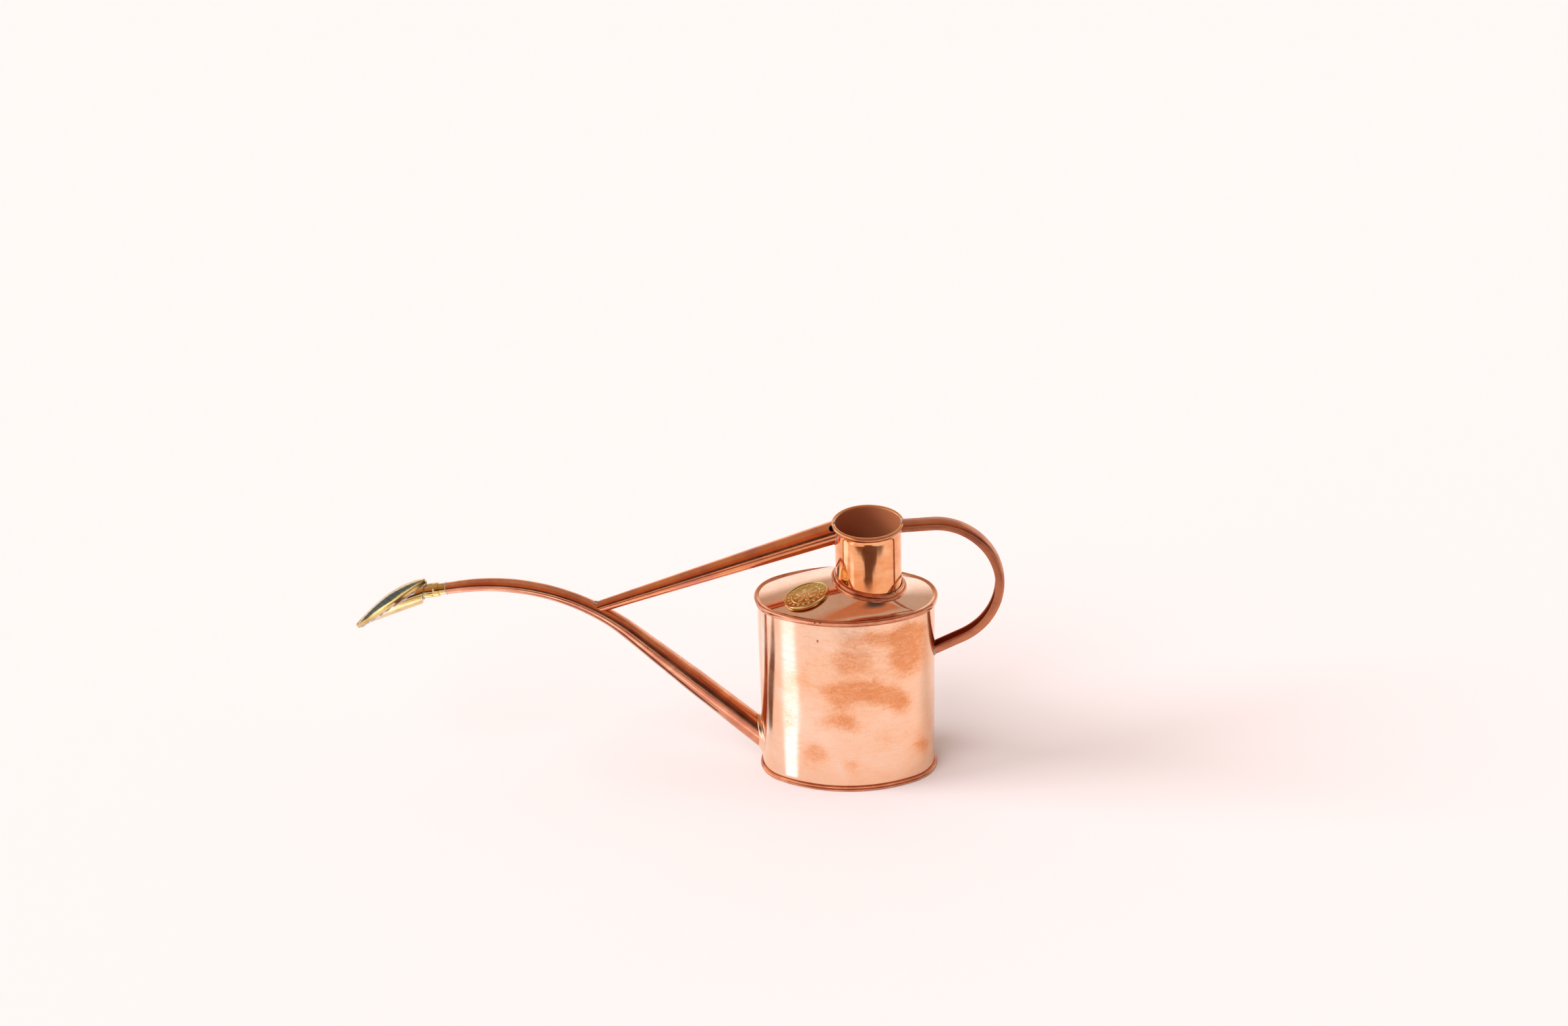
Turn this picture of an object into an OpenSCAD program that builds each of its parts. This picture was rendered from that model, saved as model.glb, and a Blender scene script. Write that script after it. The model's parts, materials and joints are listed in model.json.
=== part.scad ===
// Small indoor watering can in copper, with a push-fit brass rose.
// Origin: centre of the oval body on the resting plane. +Z up, spout towards -X, handle towards +X.

/* [Body] */
// Length of the oval body along X
body_length = 120; // [112:1:130]
// Width of the oval body along Y
body_width = 72.4; // [68:0.2:80]
// Radius of the two ends of the oval
end_radius = 27; // [25:0.5:29]
// Height of the top of the body wall
wall_top = 134.6; // [125:0.1:145]
// Thickness of the copper sheet
sheet = 0.7; // [0.5:0.1:0.9]

/* [Base] */
// Height of the hem round the foot
base_hem_h = 3.7; // [3.2:0.1:4.5]
// How far the lower band of the hem stands out from the wall
base_hem_out = 1.6; // [1.2:0.1:2.2]
// Height of the underside of the recessed bottom
base_recess = 2.2; // [1.6:0.1:2.4]

/* [Shoulder] */
// How far the shoulder hem stands out from the wall
shoulder_hem_out = 2.1; // [1.8:0.1:2.6]
// Height of each of the two bands of the shoulder hem
shoulder_band_h = 2.1; // [1.4:0.1:2.2]
// Height of the collar's seat above the body wall, at the neck's axis
shoulder_rise = 10.2; // [9:0.1:12]
// Tilt of the collar's seat, higher towards the spout
seat_tilt = 10; // [8:0.5:12]

/* [Neck] */
// Distance from the body's centre to the neck's axis, towards the handle
neck_x = 15.6; // [12:0.1:18]
// Outer radius of the neck
neck_r = 22.2; // [21:0.1:24]
// Height of the centre of the rolled rim
rim_z = 190; // [180:0.1:200]
// Radius of the rolled rim's bead
rim_bead_r = 1.4; // [1.2:0.1:1.8]
// Width of the stepped collar round the foot of the neck
collar_w = 3.6; // [3:0.1:4.5]

/* [Spout] */
// Height at which the spout's axis crosses the end of the body
spout_root_z = 24.15; // [23:0.1:28]
// Slope of the straight part of the spout
spout_slope = 43.3; // [42:0.1:45]
// Length of the straight part
spout_straight = 119.5; // [115:0.5:125]
// Radius of the bend
spout_bend_r = 138.8; // [130:0.2:150]
// How far the tip dips below horizontal
tip_dip = 8; // [6:0.5:10]
// Length of the straight tip
tip_length = 9.2; // [8:0.1:12]
// Outer radius where the spout meets the body
spout_root_r = 8.9; // [8.5:0.1:9.5]
// Outer radius where the bend begins
spout_bend_start_r = 6.2; // [6:0.1:6.5]
// Outer radius of the tip
tip_r = 4; // [3.9:0.1:4.2]

/* [Strut] */
// Distance along X from the body's centre to the strut's lower end
strut_foot_x = 172; // [170:0.5:174]
// Height of the axis at the lower end
strut_foot_z = 124.7; // [124:0.1:126]
// Slope of the strut
strut_slope = 19.5; // [19:0.1:20]
// Outer radius at the lower end
strut_foot_r = 4; // [3.8:0.1:4.4]
// Outer radius at the neck
strut_neck_r = 8; // [7.5:0.1:8.2]

/* [Handle] */
// Width of the channel across its back
handle_w = 10.3; // [9:0.1:12]
// Depth of the channel
handle_d = 6; // [5:0.1:7]
// Height of the channel's centre line at its upper end
handle_top_z = 188.3; // [187:0.1:189]
// Rise of the first straight stretch
handle_rise = 4; // [3:0.5:5]
// Length of the first straight stretch
handle_top_len = 20.4; // [19:0.1:22]
// Radius and angle of the upper bend
handle_upper_bend = [39.5, 38.5];
// Radius and angle of the long lower bend
handle_lower_bend = [47, 118.3];
// Length of the last straight stretch, past the wall
handle_foot_len = 24; // [23:0.1:26]

/* [Badge] */
// Length and width of the oval badge
badge_size = [31.5, 23.5];
// Centre of the badge on the shoulder, from the body's centre
badge_at = [-26, -16];
// Thickness of the badge
badge_t = 1.1; // [0.9:0.1:1.5]

/* [Rose] */
// Length of the rose's face
face_length = 62; // [58:0.5:64]
// Width of the rose's face
face_width = 21; // [19:0.5:23]
// Angle between the face and the axis of the tip
face_slope = 27.3; // [26:0.1:29]
// Lean of the rose's back plate from square to the tip
back_lean = 15.5; // [12:0.5:18]
// Outer radius of the ferrule that the rose pushes on to
ferrule_r = 4; // [3.9:0.05:4.2]
// Running clearance of the rose on the ferrule
socket_clearance = 0.05; // [0.03:0.01:0.08]
// Outer radius of the socket
socket_r = 4.9; // [4.7:0.1:5.2]
// Diameter of the holes in the face
spray_hole_d = 1; // [0.8:0.1:1.4]

/* [Hidden] */
$fn = 96;
cut = 0.01;
copper = "#d98f68";
dark_copper = "#a8583a";
brass = "#c9a24a";
solder = "#a9a39b";

half_l = body_length / 2;
half_w = body_width / 2;

base_plate_top = base_recess + sheet;
shoulder_hem_top = wall_top + 1;
neck_inner_r = neck_r - sheet;
proud = 0.02;
neck_foot_z = wall_top + 3.7;
collar_step = 1.7;

// Spout path: a straight line, a bend and a straight tip
bend_start = [-half_l - spout_straight * cos(spout_slope), spout_root_z + spout_straight * sin(spout_slope)];
bend_centre = bend_start - spout_bend_r * [sin(spout_slope), cos(spout_slope)];
bend_end = bend_centre + spout_bend_r * [sin(-tip_dip), cos(-tip_dip)];
tip = bend_end + tip_length * [-cos(tip_dip), -sin(tip_dip)];
tip_start_r = tip_r + 0.2;
root_run = 14;
swell_at = 60;
swell_r = 8.2;
bend_rings = 24;
spout_sides = 36;
ferrule_bore_r = 2.6;
spigot_r = tip_r - sheet - 0.05;

// Distances along the axis of the tip, from the end of the copper
ferrule_end = 12;
socket_start = 5.5;
washer_t = 1;
socket_floor = ferrule_end + washer_t + 0.6;
back_plate_t = 0.8;
socket_bore_r = ferrule_r + socket_clearance;

// Rose face in the axes of the tip
face_top = [8.8, 13.6];
face_nose_r = 2.4;
face_arc_r = (pow(face_length / 2, 2) + pow(face_width / 2, 2) - face_length * face_nose_r)
    / (face_width - 2 * face_nose_r);
rim_arch = 2.2;
face_arch = 4;
face_dome_r = 31;
brass_sheet = 0.6;
rim_h = 2;
rim_w = 1.1;
rim_lip = 0.4;
rim_step = 0.9;
back_at = 16.3;
back_r = 7;
keel_r = 2.2;
keel_drop = 10.4;
hole_pitch = [4.4, 3.2];

// Plane of the badge: its height above the body wall and the slope of the shoulder under it
badge_rise = 9.2;
badge_slope = [0.26, 0.195];
badge_turn = 13;

strut_len = (strut_foot_x - 2) / cos(strut_slope);
handle_r = [handle_upper_bend[0], handle_lower_bend[0]];
handle_a = [handle_upper_bend[1], handle_lower_bend[1]];
handle_foot_heading = handle_rise - handle_a[0] - handle_a[1];

// Oval of four arcs: a and b are its half-axes, end_r the radius of its ends. The end circles are a
// little proud, so that the arcs cross at a small angle instead of touching.
module four_arc_oval(a, b, end_r, grow) {
    side_r = (pow(a, 2) + pow(b, 2) - 2 * a * end_r) / (2 * (b - end_r));
    side_centre = side_r - b;
    meet = atan2(a - end_r, side_centre);
    intersection() {
        translate([0, -side_centre]) circle(r = side_r + grow, $fn = 360);
        translate([0, side_centre]) circle(r = side_r + grow, $fn = 360);
        square([2 * (side_r + grow) * sin(meet), 2 * b + 20], center = true);
    }
    for (side = [-1, 1]) {
        translate([side * (a - end_r - proud), 0]) circle(r = end_r + grow + proud, $fn = 120);
    }
}

module oval(grow) {
    four_arc_oval(half_l, half_w, end_radius, grow);
}

module oval_band(z, h, out, inside) {
    translate([0, 0, z]) linear_extrude(h) difference() {
        oval(out);
        oval(inside);
    }
}

// Plane on which the neck's collar sits
module on_seat(height) {
    translate([neck_x, 0, wall_top + shoulder_rise]) rotate([0, seat_tilt, 0]) {
        translate([0, 0, height]) children();
    }
}

// Solid under the shoulder sheet's outer face: from the oval hem to the collar's round seat
module shoulder_form(drop) {
    hull() {
        translate([0, 0, shoulder_hem_top - 0.5 - drop]) linear_extrude(0.1) oval(1.2);
        on_seat(-0.1 - drop) cylinder(r = neck_r + collar_w, h = 0.1);
    }
}

module body_wall() {
    color(copper) difference() {
        oval_band(base_plate_top, wall_top - base_plate_top, 0, -sheet);
        spout_straight_part(cut);
    }
}

module base_plate() {
    color(dark_copper) {
        oval_band(0, base_plate_top, base_hem_out, -1.2);
        oval_band(base_plate_top, base_hem_h - base_plate_top, base_hem_out - 0.6, 0);
        translate([0, 0, base_recess]) linear_extrude(sheet) oval(-1);
    }
}

module shoulder_plate() {
    color(copper) difference() {
        union() {
            oval_band(shoulder_hem_top - 2 * shoulder_band_h, shoulder_band_h, shoulder_hem_out - 0.6, 0);
            oval_band(shoulder_hem_top - shoulder_band_h, shoulder_band_h, shoulder_hem_out, 0);
            oval_band(wall_top, shoulder_hem_top - wall_top, 0.5, -2.2);
            difference() {
                shoulder_form(0);
                shoulder_form(1.1 * sheet);
            }
        }
        translate([neck_x, 0, wall_top]) cylinder(r = neck_r, h = 2 * shoulder_rise);
    }
}

module neck_collar() {
    color(copper) difference() {
        on_seat(0) {
            cylinder(r = neck_r + collar_w, h = collar_step);
            cylinder(r = neck_r + collar_w - 1.7, h = 2 * collar_step);
        }
        translate([neck_x, 0, wall_top]) cylinder(r = neck_r, h = 4 * shoulder_rise);
    }
}

module neck_tube() {
    color(copper) translate([neck_x, 0, 0]) {
        translate([0, 0, neck_foot_z]) difference() {
            cylinder(r = neck_r, h = rim_z - neck_foot_z);
            translate([0, 0, -1]) cylinder(r = neck_inner_r, h = rim_z - neck_foot_z + 2);
        }
        rim_bead(0);
    }
}

module rim_bead(grow) {
    translate([0, 0, rim_z]) rotate_extrude() {
        translate([neck_inner_r + rim_bead_r + 0.1, 0]) circle(r = rim_bead_r + grow, $fn = 32);
    }
}

// Places children on the straight part of the spout: their +Z runs up the spout
module along_spout(distance) {
    translate([-half_l, 0, spout_root_z]) rotate([0, spout_slope - 90, 0]) {
        translate([0, 0, distance]) children();
    }
}

module spout_straight_part(grow) {
    root_grow = grow - root_run * (swell_r - spout_root_r) / swell_at;
    along_spout(-root_run) {
        cylinder(r1 = spout_root_r + root_grow, r2 = swell_r + grow, h = swell_at + root_run);
    }
    along_spout(swell_at) {
        cylinder(r1 = swell_r + grow, r2 = spout_bend_start_r + grow, h = spout_straight - swell_at);
    }
}

function bend_radius(part) = lookup(part, [
    [0, spout_bend_start_r], [0.15, 5.6], [0.35, 5.1], [0.7, 4.8], [1, tip_start_r]
]);

function on_bend(part) =
    let (heading = spout_slope - part * (spout_slope + tip_dip))
    [bend_centre + spout_bend_r * [sin(heading), cos(heading)], heading, bend_radius(part)];

function on_straight(distance, r) =
    [[-half_l - distance * cos(spout_slope), spout_root_z + distance * sin(spout_slope)], spout_slope, r];

// Stations of the spout: the middle of each ring, its heading and its outer radius
spout_stations = [
    on_straight(-root_run, spout_root_r + root_run * (spout_root_r - swell_r) / swell_at),
    on_straight(swell_at, swell_r),
    each [for (i = [0 : bend_rings]) on_bend(i / bend_rings)],
    [tip, -tip_dip, tip_r],
];

function spout_ring(station, thinner) = [
    for (k = [0 : spout_sides - 1])
        let (
            turn = 360 * k / spout_sides,
            r = station[2] - thinner,
            rise = r * cos(turn)
        )
        [station[0].x + rise * sin(station[1]), r * sin(turn), station[0].y + rise * cos(station[1])]
];

// A quad between neighbouring rings of n points, as two triangles; first is the quad's lowest point number
function quad(ring, k, n) =
    let (a = ring * n + k, b = ring * n + (k + 1) % n)
    [[a, a + n, b + n], [a, b + n, b]];

module spout_tube() {
    n = spout_sides;
    rings = len(spout_stations);
    skin = rings * n;
    outer = [for (station = spout_stations) each spout_ring(station, 0)];
    inner = [for (station = spout_stations) each spout_ring(station, sheet)];
    outside = [for (i = [0 : rings - 2], k = [0 : n - 1]) each quad(i, k, n)];
    inside = [for (face = outside) [face[2] + skin, face[1] + skin, face[0] + skin]];
    ends = [for (k = [0 : n - 1])
        let (a = k, b = (k + 1) % n, c = a + skin - n, d = b + skin - n)
        each [[a, b, b + skin], [a, b + skin, a + skin], [c, d + skin, d], [c, c + skin, d + skin]]];
    color(dark_copper) difference() {
        polyhedron(points = concat(outer, inner), faces = concat(outside, inside, ends), convexity = 6);
        translate([0, 0, -20]) linear_extrude(80) oval(-sheet);
    }
}

module spout_root_collar() {
    color(copper) difference() {
        union() {
            intersection() {
                spout_straight_part(1.3);
                linear_extrude(60) oval(1.4);
            }
            intersection() {
                spout_straight_part(0.7);
                linear_extrude(60) oval(3.6);
            }
        }
        spout_straight_part(cut);
        translate([0, 0, -20]) linear_extrude(100) oval(cut);
    }
}

// Axes of the tip: +Z runs out of the spout, +X points up
module at_tip(distance) {
    translate([tip.x, 0, tip.y]) rotate([0, -90 - tip_dip, 0]) translate([0, 0, distance]) children();
}

module tube(outer_r, inner_r, from, to) {
    translate([0, 0, from]) difference() {
        cylinder(r = outer_r, h = to - from);
        translate([0, 0, -1]) cylinder(r = inner_r, h = to - from + 2);
    }
}

module tip_solder_ring() {
    color(solder) at_tip(0) tube(tip_r + 0.35, spigot_r + cut, 0, 0.9);
}

module spout_ferrule() {
    color(brass) at_tip(0) {
        tube(spigot_r, ferrule_bore_r, -6, 1);
        tube(ferrule_r, ferrule_bore_r, 0.9, ferrule_end);
    }
}

// Axes of the strut: +Z runs up the strut, from its lower end
module along_strut(distance) {
    translate([-strut_foot_x, 0, strut_foot_z]) rotate([0, 90 - strut_slope, 0]) {
        translate([0, 0, distance]) children();
    }
}

module strut_solid(grow) {
    along_strut(0) cylinder(r1 = strut_foot_r + grow, r2 = strut_neck_r + grow, h = strut_len);
}

module bend_core(r) {
    translate([bend_centre.x, 0, bend_centre.y]) rotate([90, 0, 0]) {
        rotate_extrude($fn = 180) translate([spout_bend_r, 0]) circle(r = r, $fn = 48);
    }
}

// The neck with its rim, and the space above the rim
module neck_core(grow) {
    translate([neck_x, 0, neck_foot_z]) cylinder(r = neck_r + grow, h = 60);
    translate([neck_x, 0, 0]) rim_bead(grow);
    translate([neck_x, 0, rim_z]) cylinder(r = neck_inner_r + 2 * rim_bead_r + 0.1 + grow, h = 20);
}

module strut_tube() {
    color(dark_copper) difference() {
        strut_solid(0);
        strut_solid(-sheet);
        bend_core(bend_radius(0.15));
        neck_core(cut);
        strut_notch();
    }
}

// Vent notch, open towards the neck, in the near side of the strut
module strut_notch() {
    notch_r = 2;
    along_strut((strut_foot_x - 11) / cos(strut_slope)) rotate([0, 0, 220]) {
        rotate([0, 90, 0]) cylinder(r = notch_r, h = 15, $fn = 32);
        translate([0, -notch_r, 0]) cube([15, 2 * notch_r, 15]);
    }
}

module strut_neck_solder() {
    color(solder) difference() {
        intersection() {
            strut_solid(0.8);
            translate([neck_x, 0, 160]) cylinder(r = neck_r + 0.9, h = rim_z - rim_bead_r - 160);
            translate([neck_x - 40, -20, 160]) cube([40, 40, 40]);
        }
        strut_solid(cut);
        neck_core(2 * cut);
    }
}

// Drip of solder where the strut's tip lies on the spout
module strut_foot_solder() {
    color(solder) difference() {
        translate([-strut_foot_x + 2.2, -1.2, strut_foot_z + 5.3]) sphere(r = 1.5, $fn = 32);
        strut_solid(cut);
        bend_core(bend_radius(0.15) + cut);
    }
}

// Cross-section of the handle: X is outwards from the loop, Y is the width
function arc_points(centre, r, from, to) = [
    for (i = [0 : corner_steps])
        let (turn = from + (to - from) * i / corner_steps)
        centre + r * [cos(turn), sin(turn)]
];

channel_corner = 2.4;
channel_hem = 1.5;
corner_steps = 4;
corner_at = [handle_d / 2 - channel_corner, handle_w / 2 - channel_corner];
channel_half = concat(
    arc_points(corner_at, channel_corner, 0, 90),
    [
        [-handle_d / 2, handle_w / 2],
        [-handle_d / 2, handle_w / 2 - channel_hem],
        [-handle_d / 2 + channel_hem, handle_w / 2 - channel_hem],
        [-handle_d / 2 + channel_hem, handle_w / 2 - sheet],
    ],
    arc_points(corner_at, channel_corner - sheet, 90, 0)
);
channel_other_half = [for (i = [len(channel_half) - 1 : -1 : 0]) [channel_half[i].x, -channel_half[i].y]];
channel = concat(channel_half, channel_other_half);

function step(at, heading, length) = at + length * [cos(heading), sin(heading)];

function turn_centre(at, heading, r) = at + r * [sin(heading), -cos(heading)];

function after_turn(at, heading, r, angle) =
    turn_centre(at, heading, r) + r * [-sin(heading - angle), cos(heading - angle)];

function turn_stations(at, heading, r, angle) = [
    for (i = [0 : ceil(angle / handle_turn_step)])
        let (turn = angle * i / ceil(angle / handle_turn_step))
        [after_turn(at, heading, r, turn), heading - turn]
];

// Path of the handle: a straight stretch, two bends and a straight stretch into the wall
handle_turn_step = 5.5;
path_start = [neck_x + neck_r - 1, handle_top_z];
path_1 = step(path_start, handle_rise, handle_top_len + 1);
path_2 = after_turn(path_1, handle_rise, handle_r[0], handle_a[0]);
heading_2 = handle_rise - handle_a[0];
path_3 = after_turn(path_2, heading_2, handle_r[1], handle_a[1]);
upper_stations = turn_stations(path_1, handle_rise, handle_r[0], handle_a[0]);
lower_stations = turn_stations(path_2, heading_2, handle_r[1], handle_a[1]);
handle_stations = concat(
    [[path_start, handle_rise]],
    upper_stations,
    [for (i = [1 : len(lower_stations) - 1]) lower_stations[i]],
    [[step(path_3, handle_foot_heading, handle_foot_len), handle_foot_heading]]
);

function channel_ring(station) = [
    for (corner = channel)
        [
            station[0].x - corner.x * sin(station[1]),
            corner.y,
            station[0].y + corner.x * cos(station[1])
        ]
];

module handle_channel() {
    n = len(channel);
    rings = len(handle_stations);
    sides = [for (i = [0 : rings - 2], k = [0 : n - 1]) each quad(i, k, n)];
    first = [for (k = [0 : n - 1]) k];
    last = [for (k = [n - 1 : -1 : 0]) (rings - 1) * n + k];
    color(dark_copper) difference() {
        polyhedron(
            points = [for (station = handle_stations) each channel_ring(station)],
            faces = concat(sides, [first, last]),
            convexity = 8
        );
        neck_core(cut);
        linear_extrude(wall_top - 10) oval(cut);
    }
}

module handle_top_solder() {
    color(solder) difference() {
        intersection() {
            translate([neck_x, -handle_w / 2 - 0.6, path_start.y - handle_d / 2 - 0.9]) {
                cube([40, handle_w + 1.2, handle_d / 2]);
            }
            translate([neck_x, 0, 160]) cylinder(r = neck_r + 0.8, h = rim_z - rim_bead_r - 160);
        }
        neck_core(2 * cut);
        handle_block(path_start, handle_rise);
    }
}

// Solid envelope of a straight stretch of the handle
module handle_block(at, heading) {
    translate([at.x, 0, at.y]) rotate([0, 90 - heading, 0]) {
        translate([-handle_d / 2, -handle_w / 2, -5]) cube([handle_d, handle_w, 40]);
    }
}

module handle_foot_solder() {
    color(solder) difference() {
        intersection() {
            translate([path_3.x, 0, path_3.y]) rotate([0, 90 - handle_foot_heading, 0]) {
                translate([-handle_d / 2 - 0.7, -handle_w / 2 - 0.7, 0]) {
                    cube([handle_d + 1.4, handle_w + 1.4, 40]);
                }
            }
            linear_extrude(wall_top - 10) oval(0.8);
        }
        linear_extrude(wall_top - 10) oval(cut);
        handle_block(path_3, handle_foot_heading);
    }
}

module badge_outline(grow) {
    four_arc_oval(badge_size.x / 2, badge_size.y / 2, 0.42 * badge_size.y, grow);
}

module badge_ring(h, out, inside) {
    linear_extrude(h) difference() {
        badge_outline(out);
        badge_outline(inside);
    }
}

// Oval badge with a raised rim, an inner ring and a plain flower
module badge() {
    slope = badge_slope;
    color(brass) difference() {
        translate([badge_at.x, badge_at.y, wall_top + badge_rise]) {
            rotate(a = atan(norm(slope)), v = [slope.y, -slope.x, 0]) rotate([0, 0, badge_turn]) {
                translate([0, 0, -2]) linear_extrude(1.5 + badge_t) badge_outline(0);
                badge_ring(badge_t, 0, -1);
                badge_ring(badge_t - 0.2, -4.2, -4.8);
                for (turn = [0 : 60 : 300]) {
                    rotate([0, 0, turn]) translate([4.2, 0, 0]) cylinder(r = 1.5, h = badge_t, $fn = 32);
                }
                cylinder(r = 1.3, h = badge_t, $fn = 32);
            }
        }
        shoulder_form(-cut);
    }
}

module rose_washer() {
    start = ferrule_end + 0.3;
    color("#3a3a3a") at_tip(0) tube(ferrule_r, ferrule_bore_r + 0.3, start, start + washer_t);
}

// Plane of the rose's back plate in the axes of the tip: +Z points into the rose
module on_back(height) {
    at_tip(back_at) rotate([0, back_lean, 0]) translate([0, 0, height]) children();
}

module rose_socket() {
    color(brass) difference() {
        at_tip(0) {
            tube(socket_r, socket_bore_r, socket_start, socket_floor);
            tube(socket_r, ferrule_bore_r + 0.4, socket_floor, back_at + 3);
        }
        on_back(0) translate([-20, -20, 0]) cube(40);
    }
}

module rose_socket_solder() {
    color(solder) difference() {
        on_back(-1.4) cylinder(r1 = socket_r + 0.6, r2 = socket_r + 1.6, h = 1.4);
        at_tip(0) cylinder(r = socket_r, h = 40);
    }
}

module back_outline(thinner) {
    hull() {
        circle(r = back_r - thinner, $fn = 48);
        translate([keel_r - keel_drop, 0]) circle(r = keel_r - thinner, $fn = 24);
    }
}

module rose_back_plate() {
    color(brass) difference() {
        on_back(0) linear_extrude(back_plate_t) difference() {
            back_outline(0);
            circle(r = ferrule_bore_r);
        }
        rim_room();
    }
}

// Axes of the face: +X runs from its top to its nose, +Z points out of it
module on_face(height) {
    at_tip(face_top[1]) translate([face_top[0], 0, 0]) rotate([0, -90 - face_slope, 0]) rotate([180, 0, 0]) {
        translate([face_length / 2, 0, height]) children();
    }
}

module face_outline(grow) {
    four_arc_oval(face_length / 2, face_width / 2, face_nose_r, grow);
}

// The hollow body's outer form: from the back plate's outline to the face's, with a keel below
module rose_form(thinner) {
    hull() {
        on_back(back_plate_t - thinner) linear_extrude(0.1) back_outline(thinner);
        on_face(0) intersection() {
            translate([0, 0, -6]) linear_extrude(12) face_outline(-rim_step - thinner);
            arched_band(-rim_h - 0.1, -rim_h);
        }
    }
}

// Band between two heights above the face's edge, arched along the face's length
module arched_band(low, high) {
    arch_r = (pow(face_length / 2, 2) + pow(rim_arch, 2)) / (2 * rim_arch);
    translate([0, 0, rim_arch - arch_r]) rotate([90, 0, 0]) difference() {
        cylinder(r = arch_r + high, h = 2 * face_width, center = true, $fn = 720);
        cylinder(r = arch_r + low, h = 3 * face_width, center = true, $fn = 720);
    }
}

module rim_band(low, high, out, inside) {
    on_face(0) intersection() {
        translate([0, 0, -6]) linear_extrude(12) difference() {
            face_outline(out);
            face_outline(inside);
        }
        arched_band(low, high);
    }
}

// Everything that lies above the rim's lower edge
module rim_room() {
    on_face(0) arched_band(-rim_h - cut, 12);
}

module rose_shell() {
    color(brass) difference() {
        rose_form(0);
        rose_form(brass_sheet);
        on_back(-20 + back_plate_t) cylinder(r = 30, h = 20);
        rim_room();
    }
}

module rose_rim_solder() {
    color(solder) difference() {
        rim_band(-rim_h - 1, -rim_h - cut, -rim_step + 0.4, -rim_w - 1);
        rose_form(-cut);
        on_back(-20) cylinder(r = 30, h = 22);
    }
}

module rose_rim() {
    color(brass) rim_band(-rim_h, rim_lip, 0, -rim_w);
}

// Arched and domed plate with rows of spray holes
module rose_face() {
    arch_r = (pow(face_length / 2, 2) + pow(face_arch, 2)) / (2 * face_arch);
    span = 36;
    rows = floor(face_width / hole_pitch.y / 2);
    columns = floor(face_length / hole_pitch.x / 2);
    color(brass) on_face(0) difference() {
        intersection() {
            translate([0, 0, -rim_h]) linear_extrude(12) face_outline(-rim_w - cut);
            translate([0, 0, face_arch - arch_r]) rotate([90, 0, 0]) rotate([0, 0, 90 - span / 2]) {
                rotate_extrude(angle = span, $fn = 720) translate([arch_r - face_dome_r, 0]) {
                    intersection() {
                        difference() {
                            circle(r = face_dome_r, $fn = 360);
                            circle(r = face_dome_r - brass_sheet, $fn = 360);
                        }
                        translate([0, -face_width]) square([face_dome_r + 1, 2 * face_width]);
                    }
                }
            }
        }
        for (row = [-rows : rows], column = [-columns : columns]) {
            x = (column + (row % 2 == 0 ? 0 : 0.5)) * hole_pitch.x;
            y = row * hole_pitch.y;
            room = sqrt(pow(face_arc_r - 2.6, 2) - pow(x, 2)) - (face_arc_r - face_width / 2);
            if (abs(y) < room) {
                translate([x, y, -rim_h]) cylinder(d = spray_hole_d, h = 12, $fn = 16);
            }
        }
    }
}

body_wall();
base_plate();
shoulder_plate();
neck_collar();
neck_tube();
spout_tube();
spout_root_collar();
tip_solder_ring();
spout_ferrule();
strut_tube();
strut_neck_solder();
strut_foot_solder();
handle_channel();
handle_top_solder();
handle_foot_solder();
badge();
rose_washer();
rose_socket();
rose_socket_solder();
rose_back_plate();
rose_shell();
rose_rim_solder();
rose_rim();
rose_face();
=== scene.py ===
"""The looks of a small copper watering can with a brass rose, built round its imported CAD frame."""
import json
import math

import bmesh
import bpy
import numpy as np
from mathutils import Matrix, Vector


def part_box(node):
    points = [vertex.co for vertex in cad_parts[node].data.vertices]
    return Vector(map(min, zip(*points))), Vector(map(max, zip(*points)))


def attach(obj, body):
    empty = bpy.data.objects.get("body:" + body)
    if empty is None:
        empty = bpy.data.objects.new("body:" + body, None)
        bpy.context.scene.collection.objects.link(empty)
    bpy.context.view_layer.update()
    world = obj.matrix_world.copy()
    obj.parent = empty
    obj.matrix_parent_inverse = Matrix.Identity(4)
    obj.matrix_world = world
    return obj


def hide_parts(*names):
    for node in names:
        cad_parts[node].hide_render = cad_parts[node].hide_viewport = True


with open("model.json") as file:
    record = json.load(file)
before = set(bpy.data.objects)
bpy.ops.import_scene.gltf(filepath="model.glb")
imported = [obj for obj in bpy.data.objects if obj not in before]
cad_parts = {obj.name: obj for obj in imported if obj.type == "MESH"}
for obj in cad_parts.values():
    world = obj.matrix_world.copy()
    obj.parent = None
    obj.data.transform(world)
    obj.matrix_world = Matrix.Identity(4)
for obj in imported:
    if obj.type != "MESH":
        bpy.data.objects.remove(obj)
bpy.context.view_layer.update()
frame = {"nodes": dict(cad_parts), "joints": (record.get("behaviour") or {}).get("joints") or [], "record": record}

# ---- Sizes, in millimetres, from the frame where it has them ----
MM = 0.001
SHEET = 0.7


def node_box(name):
    """Lowest and highest corner of a CAD node, in millimetres."""
    low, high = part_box(name)
    return np.array(low) / MM, np.array(high) / MM


def joint(name):
    return next(j for j in frame["joints"] if j["name"] == name)


def mount(name):
    return next(m for m in frame["record"]["mounts"] if m["name"] == name)


wall_low, wall_high = node_box("body_wall")
HALF_L, HALF_W = wall_high[0], wall_high[1]
WALL_TOP = wall_high[2]
END_R = 27
HEM_H = node_box("base_plate")[1][2]
HEM_OUT = node_box("base_plate")[1][0] - HALF_L
SHOULDER_OUT = node_box("shoulder_plate")[1][0] - HALF_L
HEM_BAND = 2.1
HEM_TOP = WALL_TOP + 1

NECK_X = mount("filler_neck")["pos_m"][0] / MM
NECK_R = mount("filler_neck")["dims"]["r_mm"] + SHEET
RIM_BEAD_R = 1.4
RIM_Z = node_box("neck_tube")[1][2] - RIM_BEAD_R
SEAT_RISE = 10.2
SEAT_TILT = math.radians(10)
COLLAR_W = 3.6

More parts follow.
